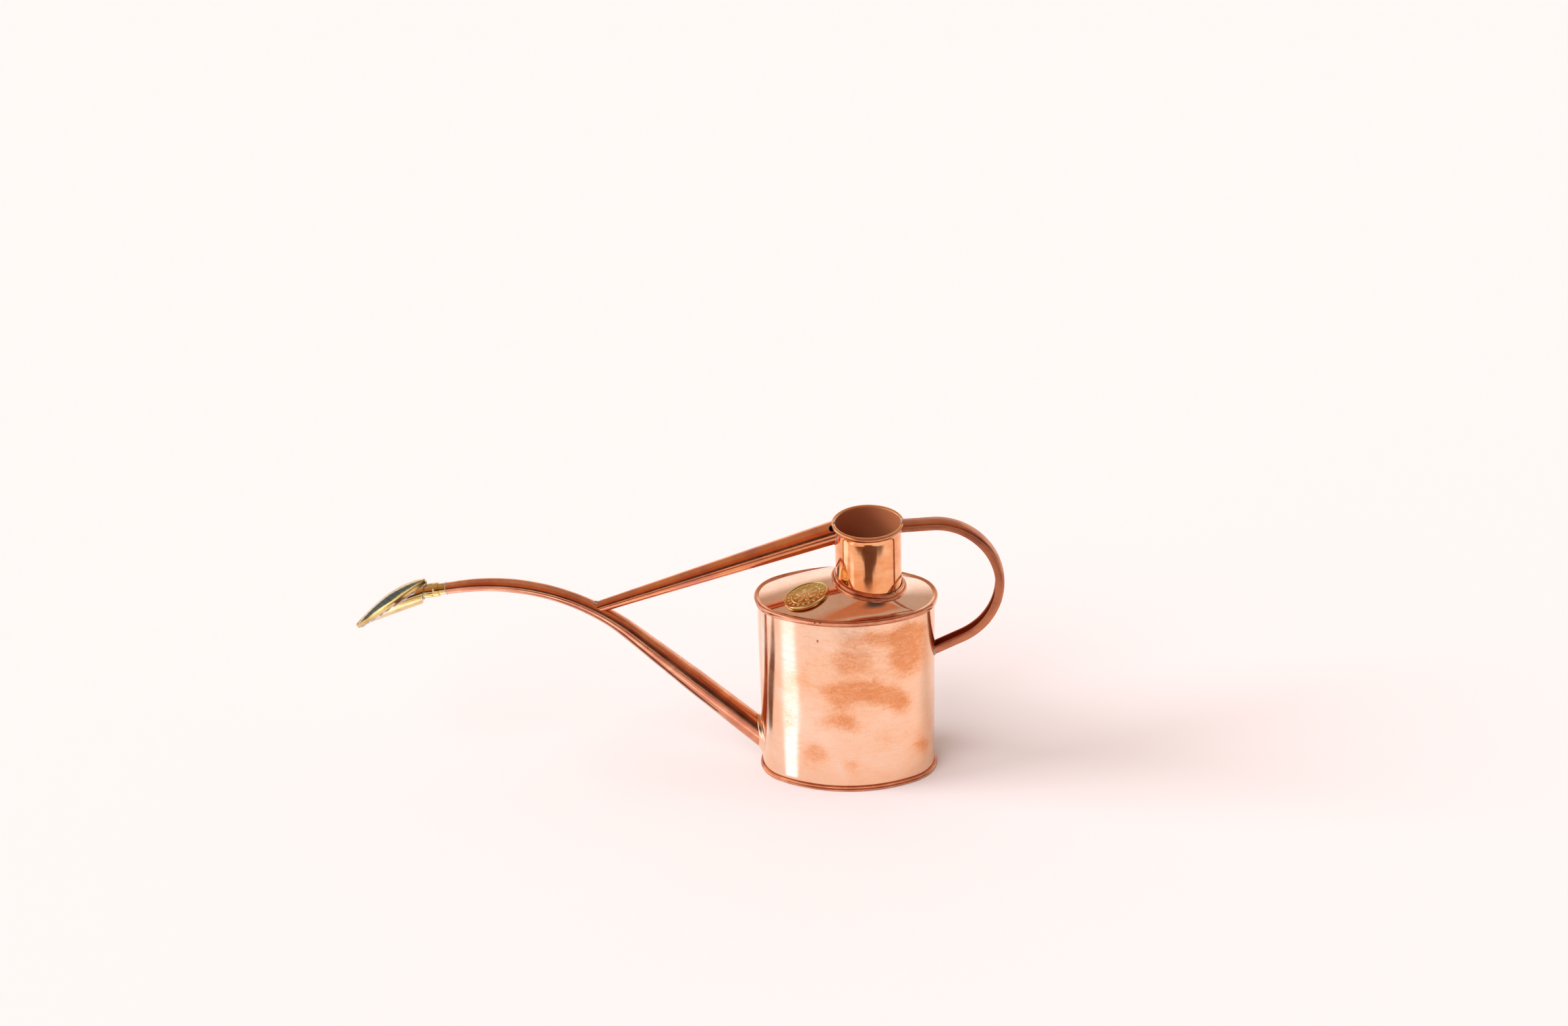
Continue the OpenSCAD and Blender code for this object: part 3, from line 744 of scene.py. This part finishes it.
# ---- Strut ----
def strut_rings(thinner, notch):
    """Rings of the strut from its foot to the neck, where they are cut to the neck's round face."""
    ahead = np.array([math.cos(STRUT_SLOPE), 0, math.sin(STRUT_SLOPE)])
    above = np.array([-math.sin(STRUT_SLOPE), 0, math.cos(STRUT_SLOPE)])
    whole = (STRUT_END_X - STRUT_FOOT[0]) / math.cos(STRUT_SLOPE)
    turns = round_turns(72)
    spokes = [math.cos(turn) * above + math.sin(turn) * ACROSS for turn in turns]

    def radius(distance):
        return STRUT_R[0] + (STRUT_R[1] - STRUT_R[0]) * distance / whole - thinner

    ends = []
    for turn, spoke in zip(turns, spokes):
        distance = whole - 15
        for _ in range(6):
            r = radius(distance)
            neck_face = NECK_X - math.sqrt(NECK_R ** 2 - (r * spoke[1]) ** 2)
            distance = (neck_face - STRUT_FOOT[0] - r * spoke[0]) / ahead[0]
        away = abs((turn - NOTCH_TURN + math.pi) % (2 * math.pi) - math.pi) * radius(distance)
        if notch and away < NOTCH_R:
            distance -= NOTCH_DEPTH + math.sqrt(NOTCH_R ** 2 - away ** 2)
        ends.append(distance)
    rings = []
    for part in np.linspace(0, 1, 90):
        points = []
        for spoke, end in zip(spokes, ends):
            distance = STRUT_START + (end - STRUT_START) * part
            points.append(STRUT_FOOT + distance * ahead + radius(distance) * spoke)
        rings.append(np.array(points))
    return rings


def build_strut():
    part = ring_solid(strut_rings(0, True) + strut_rings(SHEET, True)[::-1])
    place(make_piece("strut", [part]), "strut_copper", "dark_copper", "strut_tube")
    line = strut_rings(0.1, False)[-1]
    beyond_notch = np.arange(-3, 59)
    path = line[beyond_notch] - [0.15, 0, 0.1]
    radii = 0.42 + 0.18 * uneven(len(line), 3)[beyond_notch]
    piece = make_piece("strut_neck_bead", [bead(path, radii)])
    place(piece, "grey_solder", "solder", "strut_neck_solder")
    foot_low, foot_high = node_box("strut_foot_solder")
    drip = drop((foot_low + foot_high) / 2, 1.5, (1.5, 0.8, 0.8))
    place(make_piece("strut_foot_drip", [drip]), "grey_solder", "solder", "strut_foot_solder")


# ---- Handle ----
def handle_path():
    """Middle and heading of the handle's rings. The heading turns down as the strip goes round."""
    at = np.array([NECK_X + NECK_R, HANDLE_TOP_Z])
    heading = HANDLE_RISE
    ahead = np.array([math.cos(heading), math.sin(heading)])
    stations = [(at + d * ahead, heading) for d in np.linspace(0, HANDLE_TOP_LEN, 10, endpoint=False)]
    at = at + HANDLE_TOP_LEN * ahead
    for r, angle in HANDLE_BENDS:
        centre = at + r * np.array([math.sin(heading), -math.cos(heading)])
        for turn in np.linspace(0, angle, round(angle * 40), endpoint=False):
            now = heading - turn
            stations.append((centre + r * np.array([-math.sin(now), math.cos(now)]), now))
        heading -= angle
        at = centre + r * np.array([-math.sin(heading), math.cos(heading)])
    ahead = np.array([math.cos(heading), math.sin(heading)])
    run = (at[0] - HALF_L) / -ahead[0] + 1.0
    return stations + [(at + d * ahead, heading) for d in np.linspace(0, run, 12)]


def channel_profile():
    """Cross-section of the handle's strip: (outwards, across)."""
    half_w = HANDLE_W / 2
    half_d = HANDLE_D / 2
    corner = 2.4
    hem = 1.3
    crown = (half_d + 0.25, 0.0)
    outer = round_corner((half_d - corner, half_w - corner), corner, 8, 90, 10)
    edge = round_corner((-half_d + hem / 2, half_w - hem / 2), hem / 2, 90, 270, 10)
    inside = [(-half_d + hem, half_w - hem + 0.05), (-half_d + hem + 0.3, half_w - SHEET - 0.1)]
    inner = round_corner((half_d - corner, half_w - corner), corner - SHEET, 90, 8, 8)
    half = [(half_d + 0.2, 1.2)] + outer + edge + inside + inner + [(half_d - SHEET + 0.2, 1.2)]
    other = [(x, -y) for x, y in half[::-1]]
    return [crown] + half + [(half_d - SHEET + 0.25, 0.0)] + other


def build_handle():
    profile = np.array(channel_profile())
    stations = handle_path()
    rings = []
    for k, (at, heading) in enumerate(stations):
        wobble = 0.15 * math.sin(k * 0.13) * math.sin(k * 0.05)
        x = at[0] - profile[:, 0] * math.sin(heading)
        z = at[1] + profile[:, 0] * math.cos(heading)
        rings.append(np.column_stack([x, profile[:, 1] + wobble, z]))
    first = rings[0]
    first[:, 0] = NECK_X + np.sqrt(NECK_R ** 2 - first[:, 1] ** 2)
    last = rings[-1]
    reach = wall_end_x(last[:, 1]) - last[:, 0]
    last[:, 0] += reach
    last[:, 2] += reach * math.tan(stations[-1][1])
    place(make_piece("handle", [capped_tube(rings)], 40), "handle_copper", "dark_copper", "handle_channel")

    third = len(profile) // 3
    outside = np.arange(-third, third)
    for name, ring, node, seed, step in (
        ("handle_top_bead", first, "handle_top_solder", 5, 0.25),
        ("handle_foot_bead", last, "handle_foot_solder", 7, 0.3),
    ):
        size = 0.45 + 0.2 * uneven(len(ring), seed)
        solder = bead(ring[outside] + step * ALONG, size[outside])
        place(make_piece(name, [solder]), "grey_solder", "solder", node)


# ---- Badge ----
def badge_height(share, turn):
    """Relief of the badge at a share of the way from its middle to its edge, and at an angle round it."""
    rim = smooth_step(0.90, 0.92, share) * (1 - smooth_step(0.98, 1.0, share))
    ring = np.exp(-((share - 0.64) / 0.016) ** 2)
    beads = np.exp(-((share - 0.77) / 0.05) ** 2) * np.maximum(0, np.cos(20 * turn)) ** 2
    petals = 0.12 + 0.40 * np.abs(np.cos(4 * turn)) ** 0.7
    flower = smooth_step(0.03, -0.03, share - petals) * smooth_step(0.10, 0.14, share)
    vein = np.exp(-((np.sin(4 * turn) / 0.16) ** 2)) * smooth_step(0.12, 0.2, share)
    middle = smooth_step(0.09, 0.06, share)
    edge = 0.45 * smooth_step(0.98, 1.0, share)
    raised = 0.7 + 0.4 * rim + 0.3 * ring + 0.3 * beads + 0.3 * flower
    return raised - 0.14 * flower * vein + 0.35 * middle - edge


def build_badge():
    length, width = 31.5, 23.5
    slope = np.array([0.26, 0.195])
    lean = math.atan(np.linalg.norm(slope))
    axis = unit([slope[1], -slope[0], 0])

    def tilt(v):
        v = np.asarray(v, float)
        along_axis = axis * np.dot(axis, v) * (1 - math.cos(lean))
        return v * math.cos(lean) + np.cross(axis, v) * math.sin(lean) + along_axis

    spin = math.radians(13)
    long_way = tilt([math.cos(spin), math.sin(spin), 0])
    short_way = tilt([-math.sin(spin), math.cos(spin), 0])
    out_way = tilt([0, 0, 1])
    origin = np.array([-26, -16, WALL_TOP + 9.2])

    def on_badge(plan, height):
        heights = np.broadcast_to(height, len(plan))
        flat = origin + np.outer(plan[:, 0], long_way) + np.outer(plan[:, 1], short_way)
        return flat + np.outer(heights, out_way)

    outline, _ = four_arc_oval(length / 2, width / 2, 0.42 * width, 360)
    turns = np.arctan2(outline[:, 1] / width, outline[:, 0] / length)
    rings = []
    for share in np.concatenate([[0.004], np.linspace(0.02, 1, 110)]):
        rings.append(on_badge(outline * share, badge_height(np.full(len(turns), share), turns)))
    rings += [on_badge(outline, depth) for depth in (-0.6, -1.8)]
    relief = make_piece("badge_relief", [capped_tube(rings)], 50)
    heights = (np.reshape(rings, (-1, 3)) - origin) @ out_way
    paint(relief.data, "hollow", np.clip((1.02 - heights) / 0.3, 0, 1))
    place(relief, "badge_brass", "brass", "badge")


# ---- Rose and its fittings: axes of the tip ----
TIP_UP = unit([TIP_AXIS[2], 0, -TIP_AXIS[0]])


def at_tip(up, across, along):
    """Points from offsets upwards, across and out along the tip's axis."""
    up, across, along = np.broadcast_arrays(up, across, along)
    return TIP + np.outer(up, TIP_UP) + np.outer(across, ACROSS) + np.outer(along, TIP_AXIS)


def on_back(up, across, out):
    """Points on the leaning back plate: out is away from the can, into the rose."""
    c, s = math.cos(BACK_LEAN), math.sin(BACK_LEAN)
    return at_tip(up * c + out * s, across, BACK_AT - up * s + out * c)


def on_face(along, across, out):
    """Points on the face: along runs from its top to its nose, out is away from the rose."""
    c, s = math.cos(FACE_SLOPE), math.sin(FACE_SLOPE)
    run = along + FACE_LENGTH / 2
    return at_tip(FACE_TOP[0] - run * s + out * c, across, FACE_TOP[1] + run * c + out * s)


def arch(along, height):
    return height * (1 - (np.asarray(along) / (FACE_LENGTH / 2)) ** 2)


RIM_ARCH = 2.2
FACE_ARCH = 4.0
RIM_H = 2.0
RIM_W = 1.1
RIM_LIP = 0.4
FACE_OVAL, FACE_NORMALS = four_arc_oval(FACE_LENGTH / 2, FACE_WIDTH / 2, FACE_NOSE_R, 320)


def face_ring(grow, out):
    """Ring round the face, grown outwards, at a height above the arched edge."""
    plan = FACE_OVAL + grow * FACE_NORMALS
    return on_face(plan[:, 0], plan[:, 1], arch(plan[:, 0], RIM_ARCH) + out)


def tip_lathe(name, profile, material, slot, node, body):
    part = lathe(profile, TIP, TIP_AXIS, TIP_UP)
    return place(make_piece(name, [part]), material, slot, node, body=body)


def build_tip_fittings():
    ring = [(TIP_R - 0.9, 0)]
    ring += round_corner((TIP_R - 0.1, 0.45), 0.45, -100, 100, 10)
    ring += [(TIP_R - 0.9, 0.9)]
    tip_lathe("tip_ring", ring, "grey_solder", "solder", "tip_solder_ring", "can")
    ferrule = [(2.6, -6), (3.2, -6), (3.2, 0.9)]
    ferrule += [(3.8, 0.9), (4.0, 1.1), (4.0, 11.6), (3.7, 12), (2.6, 12)]
    tip_lathe("ferrule", ferrule, "rose_brass", "brass", "spout_ferrule", "can")
    socket = [(4.05, 5.5), (4.7, 5.5), (4.9, 5.7), (4.9, 9.2), (4.82, 9.35), (4.82, 9.6), (4.9, 9.75)]
    socket += [(4.9, BACK_AT - 0.4), (3.0, BACK_AT - 0.4), (3.0, 13.6), (4.05, 13.6)]
    tip_lathe("socket", socket, "rose_brass", "brass", "rose_socket", "rose")


def back_outline(count):
    """Outline of the back plate: a round plate with a small round keel below."""
    back_r, keel_r, keel_at = 7.0, 2.2, -7.2
    points = []
    for turn in round_turns(count):
        normal = np.array([math.cos(turn), math.sin(turn)])
        if -normal[0] > (back_r - keel_r) / -keel_at:
            points.append(np.array([keel_at, 0]) + keel_r * normal)
        else:
            points.append(back_r * normal)
    return np.array(points)


def resample(points, count, start):
    """Evenly spaced points round a closed outline, from the one nearest to a start point."""
    first = int(np.argmin(np.linalg.norm(points - start, axis=1)))
    loop = np.vstack([np.roll(points, -first, axis=0), points[first]])
    walked = np.concatenate([[0], np.cumsum(np.linalg.norm(np.diff(loop, axis=0), axis=1))])
    at = np.linspace(0, walked[-1], count, endpoint=False)
    return np.column_stack([np.interp(at, walked, loop[:, k]) for k in range(loop.shape[1])])


def build_rose_shell():
    count = 240
    back = back_outline(720)
    back_loop = resample(on_back(back[:, 0], back[:, 1], 0.4), count, at_tip(7.5, 0, BACK_AT)[0])
    face_edge = face_ring(-0.9, -RIM_H + 0.1)
    face_loop = resample(face_edge, count, on_face(-FACE_LENGTH / 2, 0, 0)[0])
    back_side, face_side = (np.dot(loop[count // 4] - loop[0], ACROSS) for loop in (back_loop, face_loop))
    if back_side * face_side < 0:
        face_loop = np.roll(face_loop[::-1], 1, axis=0)

    def skin(thinner):
        rings = []
        for part in np.linspace(0, 1, 40):
            ring = back_loop + (face_loop - back_loop) * part
            rings.append(ring + thinner * unit_rows(ring.mean(axis=0) - ring))
        return rings

    shell = make_piece("rose_body", [ring_solid(skin(0) + skin(0.6)[::-1])], 50)
    place(shell, "rose_brass", "brass", "rose_shell", body="rose")

    plate = [on_back(back[::3, 0], back[::3, 1], h) for h in (0, 0.75)]
    plate = make_piece("rose_back", [capped_tube(plate)], 50)
    place(plate, "rose_brass", "brass", "rose_back_plate", body="rose")

    turns = round_turns(90)
    around = on_back(5.2 * np.cos(turns), 5.0 * np.sin(turns), -0.35)
    solder = make_piece("socket_bead", [bead(around, 0.62 + 0.3 * uneven(90, 11), True)])
    place(solder, "grey_solder", "solder", "rose_socket_solder", body="rose")


def build_rose_rim():
    profile = [(-RIM_W, -RIM_H), (-0.25, -RIM_H), (0, -RIM_H + 0.25), (0, RIM_LIP - 0.35)]
    profile += round_corner((-0.45, RIM_LIP - 0.4), 0.42, 0, 130, 6)
    profile += [(-RIM_W, RIM_LIP - 0.35)]
    band = make_piece("rose_rim_band", [ring_solid([face_ring(grow, out) for grow, out in profile])], 40)
    place(band, "rose_brass", "brass", "rose_rim", body="rose")
    size = 0.75 + 0.4 * uneven(len(FACE_OVAL), 21, 14)
    solder = make_piece("rose_rim_bead", [bead(face_ring(-0.6, -RIM_H - 0.35), size, True, 8)])
    place(solder, "grey_solder", "solder", "rose_rim_solder", body="rose")


def face_height(along, across):
    return arch(along, FACE_ARCH) - np.asarray(across) ** 2 / 62


def hole_cutters():
    """Thin prisms in staggered rows, for the holes in the rose's face."""
    pitch = (4.4, 3.2)
    turns = round_turns(16) + HOLE_TURN
    cutters = []
    for row in range(-3, 4):
        for column in range(-7, 8):
            x = (column + row % 2 / 2) * pitch[0]
            y = row * pitch[1]
            half = np.interp(abs(x), [0, 8, 16, 22, 27, 31], [9.4, 8.7, 6.6, 4.2, 1.7, 0])
            if abs(y) < half - 1.4:
                middle = face_height(x, y)
                plan = (x + HOLE_R * np.cos(turns), y + HOLE_R * np.sin(turns))
                cutters.append(capped_tube([on_face(*plan, middle + h) for h in (-2, 2)]))
    return cutters


def build_rose_face():
    thick = 0.6
    plan, _ = four_arc_oval(FACE_LENGTH / 2 - RIM_W, FACE_WIDTH / 2 - RIM_W, FACE_NOSE_R - RIM_W, 300)
    rings = []
    for shares, down in ((np.linspace(0.02, 1, 34), 0), (np.linspace(1, 0.02, 34), thick)):
        for share in shares:
            x, y = (plan * share).T
            rings.append(on_face(x, y, face_height(x, y) - down))
    piece = make_piece("rose_plate", [capped_tube(rings)], 40)
    cutter = make_piece("hole_cutter", hole_cutters())
    modifier = piece.modifiers.new("holes", "BOOLEAN")
    modifier.object = cutter
    modifier.operation = "DIFFERENCE"
    modifier.solver = "EXACT"
    bpy.context.view_layer.update()
    depsgraph = bpy.context.evaluated_depsgraph_get()
    cut = bpy.data.meshes.new_from_object(piece.evaluated_get(depsgraph))
    piece.modifiers.clear()
    piece.data = cut
    cut.set_sharp_from_angle(angle=math.radians(40))
    bpy.data.objects.remove(cutter)
    place(piece, "rose_brass", "brass", "rose_face", body="rose")


def build_washer():
    node = frame["nodes"]["rose_washer"]
    node.data.materials.clear()
    node.data.materials.append(MATERIALS["washer_rubber"])


# ---- Small marks of the soldering ----
def build_marks():
    spots = [
        drop(np.array([-20.0, -(HALF_W + 0.9), HEM_TOP - 0.9]), 0.8, (1, 0.7, 0.7)),
        drop(np.array([-16.5, -(HALF_W + 1.2), HEM_TOP - 0.9]), 0.7, (1, 0.7, 0.7)),
        drop(np.array([-18.5, -(HALF_W - 1.9), 119.0]), 0.9, (0.9, 0.6, 1.3)),
    ]
    place(make_piece("solder_marks", spots), "hem_copper", "solder")


build_wall()
build_base()
build_shoulder()
build_collar()
build_neck()
build_spout()
build_root_collar()
build_strut()
build_handle()
build_badge()
build_tip_fittings()
build_rose_shell()
build_rose_rim()
build_rose_face()
build_washer()
build_marks()


# ---- Stage: floor, world, lights, cards and camera ----
FLOOR_COLOUR = (0.74, 0.722, 0.776)
BACKDROP = (1.0, 0.956, 0.922)
CAMERA_YAW, CAMERA_RISE, CAMERA_ROLL = 3.15, 28.5, -1.8
CAMERA_DISTANCE = 1.737
CAMERA_TARGET = (-0.040, 0, 0.198)
FLOOR_REACH = 9.0
CARD_Z = 2
SUN_COLOUR = (1.0, 0.965, 0.93)
GLOW = (1.8, 1.75, 2.15)
SIDE_GLOW = (1.0, 1.2, 1.4)
FRONT_DARK = (0.075, 0.055, 0.05)
SIDE_PALE = (0.62, 0.59, 0.56)
BACK_PALE = (1.24, 1.19, 1.15)
LEFT_BRIGHT = (1.9, 1.8, 1.68)
OVERHEAD_DARK = (0.58, 0.45, 0.35)
OVERHEAD_FRONT = (0.58, 0.23, 0.11)


def build_floor():
    mesh = bpy.data.meshes.new("floor")
    corners = [(-1, -1), (1, -1), (1, 1), (-1, 1)]
    mesh.from_pydata([(FLOOR_REACH * x, FLOOR_REACH * y, 0) for x, y in corners], [], [(0, 1, 2, 3)])
    floor = new_object("floor", mesh)
    values = {"Base Color": (*FLOOR_COLOUR, 1), "Roughness": 1.0, "Specular IOR Level": 0.0}
    mesh.materials.append(new_material("floor_paper", values))


def build_world():
    """A room that shows in the metal: dark in front, orange-brown overhead in front, bright on the left and
    low down behind. The camera sees a plain pale backdrop."""
    world = bpy.data.worlds.new("studio")
    bpy.context.scene.world = world
    world.use_nodes = True
    tree = world.node_tree
    tree.nodes.clear()
    coords = add(tree, "ShaderNodeTexCoord").outputs["Generated"]
    split = add(tree, "ShaderNodeSeparateXYZ", {"Vector": coords})
    x, y, z = (split.outputs[axis] for axis in "XYZ")
    walls = ramp(
        tree,
        map_range(tree, y, -1, 1, 0, 1),
        [(0.10, FRONT_DARK), (0.44, FRONT_DARK), (0.60, SIDE_PALE), (0.85, BACK_PALE)],
    )
    left = mix_colour(tree, map_range(tree, x, -0.55, -0.78, 0, 1), walls, LEFT_BRIGHT)
    above = mix_colour(tree, map_range(tree, y, -0.15, -0.45, 0, 1), OVERHEAD_DARK, OVERHEAD_FRONT)
    room = mix_colour(tree, map_range(tree, z, 0.32, 0.52, 0, 1), left, above)
    seen = add(tree, "ShaderNodeLightPath")
    sky = mix_colour(tree, seen.outputs["Is Camera Ray"], room, BACKDROP)
    back = add(tree, "ShaderNodeBackground", {"Color": sky, "Strength": 1.0})
    add(tree, "ShaderNodeOutputWorld", {"Surface": back.outputs["Background"]})


def add_sun(name, towards, energy, spread):
    light = bpy.data.lights.new(name, "SUN")
    light.energy = energy
    light.angle = math.radians(spread)
    light.color = SUN_COLOUR
    lamp = new_object(name, light)
    lamp.visible_glossy = False
    lamp.rotation_euler = Vector(towards).to_track_quat("Z", "Y").to_euler()


def build_lights():
    """A soft key light on the left, a weaker one at the front left and a faint one on the right."""
    add_sun("key", (-0.88, -0.08, 0.49), 2.8, 30)
    add_sun("fill", (-0.42, -0.60, 0.80), 1.62, 40)
    add_sun("right", (0.80, 0.10, 0.55), 0.35, 40)


def add_card(name, points, faces, colour, glow=None):
    """A card that shows only in reflections, flat and just above the floor if its points have no height.
    With glow, which has a number for each point, it shines, most where glow is 1."""
    mesh = bpy.data.meshes.new(name)
    mesh.from_pydata([tuple(v * MM for v in (*point, CARD_Z)[:3]) for point in points], [], faces)
    card = new_object(name, mesh)
    material = new_material(name, {"Base Color": (*colour, 1), "Roughness": 1.0})
    if glow is not None:
        tree = material.node_tree
        paint(mesh, "glow", glow)
        shine = add(tree, "ShaderNodeEmission", {"Color": (*colour, 1), "Strength": 1.0}).outputs["Emission"]
        clear = add(tree, "ShaderNodeBsdfTransparent").outputs["BSDF"]
        mix = add(tree, "ShaderNodeMixShader", {"Fac": painted(tree, "glow"), 1: clear, 2: shine})
        tree.links.new(mix.outputs["Shader"], tree.nodes["Material Output"].inputs["Surface"])
    mesh.materials.append(material)
    card.visible_camera = False
    card.visible_diffuse = False
    card.visible_shadow = False


def add_glow(name, start, end, angles, reach, colour):
    """A pale fan of light on the floor, between two rays, soft towards both. Angles are from -Y to -X."""
    steps = 12
    points, glow = [], []
    for k in range(steps + 1):
        part = k / steps
        turn = math.radians(angles[0] + (angles[1] - angles[0]) * part)
        middle = np.array(start) * (1 - part) + np.array(end) * part
        ray = np.array([-math.sin(turn), -math.cos(turn)])
        points += [tuple(middle + reach[0] * ray), tuple(middle + reach[1] * ray)]
        glow += [float(smooth_step(0, 0.22, min(part, 1 - part)))] * 2
    faces = [(2 * k, 2 * k + 1, 2 * k + 3, 2 * k + 2) for k in range(steps)]
    add_card(name, points, faces, colour, glow)


def build_cards():
    """Dark cards in front and on the left, three pale patches beside them, and a blue-grey card standing
    behind on the left, for the rose."""
    flag = [
        (-75, -280), (-35, -297), (-57, -312), (-118, -306), (-190, -272), (-236, -246), (-310, -290),
        (-310, -620), (500, -620), (500, -270), (314, -187), (262, -228), (193, -281), (150, -285),
        (85, -293), (95, -278),
    ]
    add_card("front_flag", flag, [tuple(range(len(flag)))], (0.10, 0.06, 0.05))
    right = [(-110, -20), (-125, -24), (-158, -42), (-192, -66), (-235, -88), (-290, -120)]
    left = [(-110, 8), (-125, 10), (-158, 10), (-192, -4), (-235, -42), (-290, -84)]
    strips = [(k, k + 1, k + 7, k + 6) for k in range(5)]
    add_card("side_flag", right + left, strips, (0.13, 0.065, 0.045))
    add_glow("left_glow", (-43.5, -25), (-34, -30), (63, 45), (6, 260), GLOW)
    add_glow("far_glow", (-2, -14), (3, -18), (100, 70), (262, 380), GLOW)
    add_glow("side_glow", (-59, -6), (-55, -15), (135, 99), (45, 235), SIDE_GLOW)
    back = [(-930, 520, 0), (-680, 760, 0), (-680, 760, 420), (-930, 520, 420)]
    add_card("back_flag", back, [(0, 1, 2, 3)], (0.12, 0.18, 0.30), [1] * 4)


def build_camera():
    yaw, rise, roll = (math.radians(angle) for angle in (CAMERA_YAW, CAMERA_RISE, CAMERA_ROLL))
    back = Vector((math.sin(yaw) * math.cos(rise), -math.cos(yaw) * math.cos(rise), math.sin(rise)))
    camera = bpy.data.cameras.new("camera")
    camera.lens = 60
    camera.sensor_width = 36
    camera.clip_end = 50
    eye = new_object("camera", camera)
    eye.location = Vector(CAMERA_TARGET) + CAMERA_DISTANCE * back
    turn = back.to_track_quat("Z", "Y").to_matrix().to_4x4()
    eye.rotation_euler = (turn @ Matrix.Rotation(roll, 4, "Z")).to_euler()
    bpy.context.scene.camera = eye


build_floor()
build_world()
build_lights()
build_cards()
build_camera()
bpy.context.scene.view_settings.view_transform = "Standard"
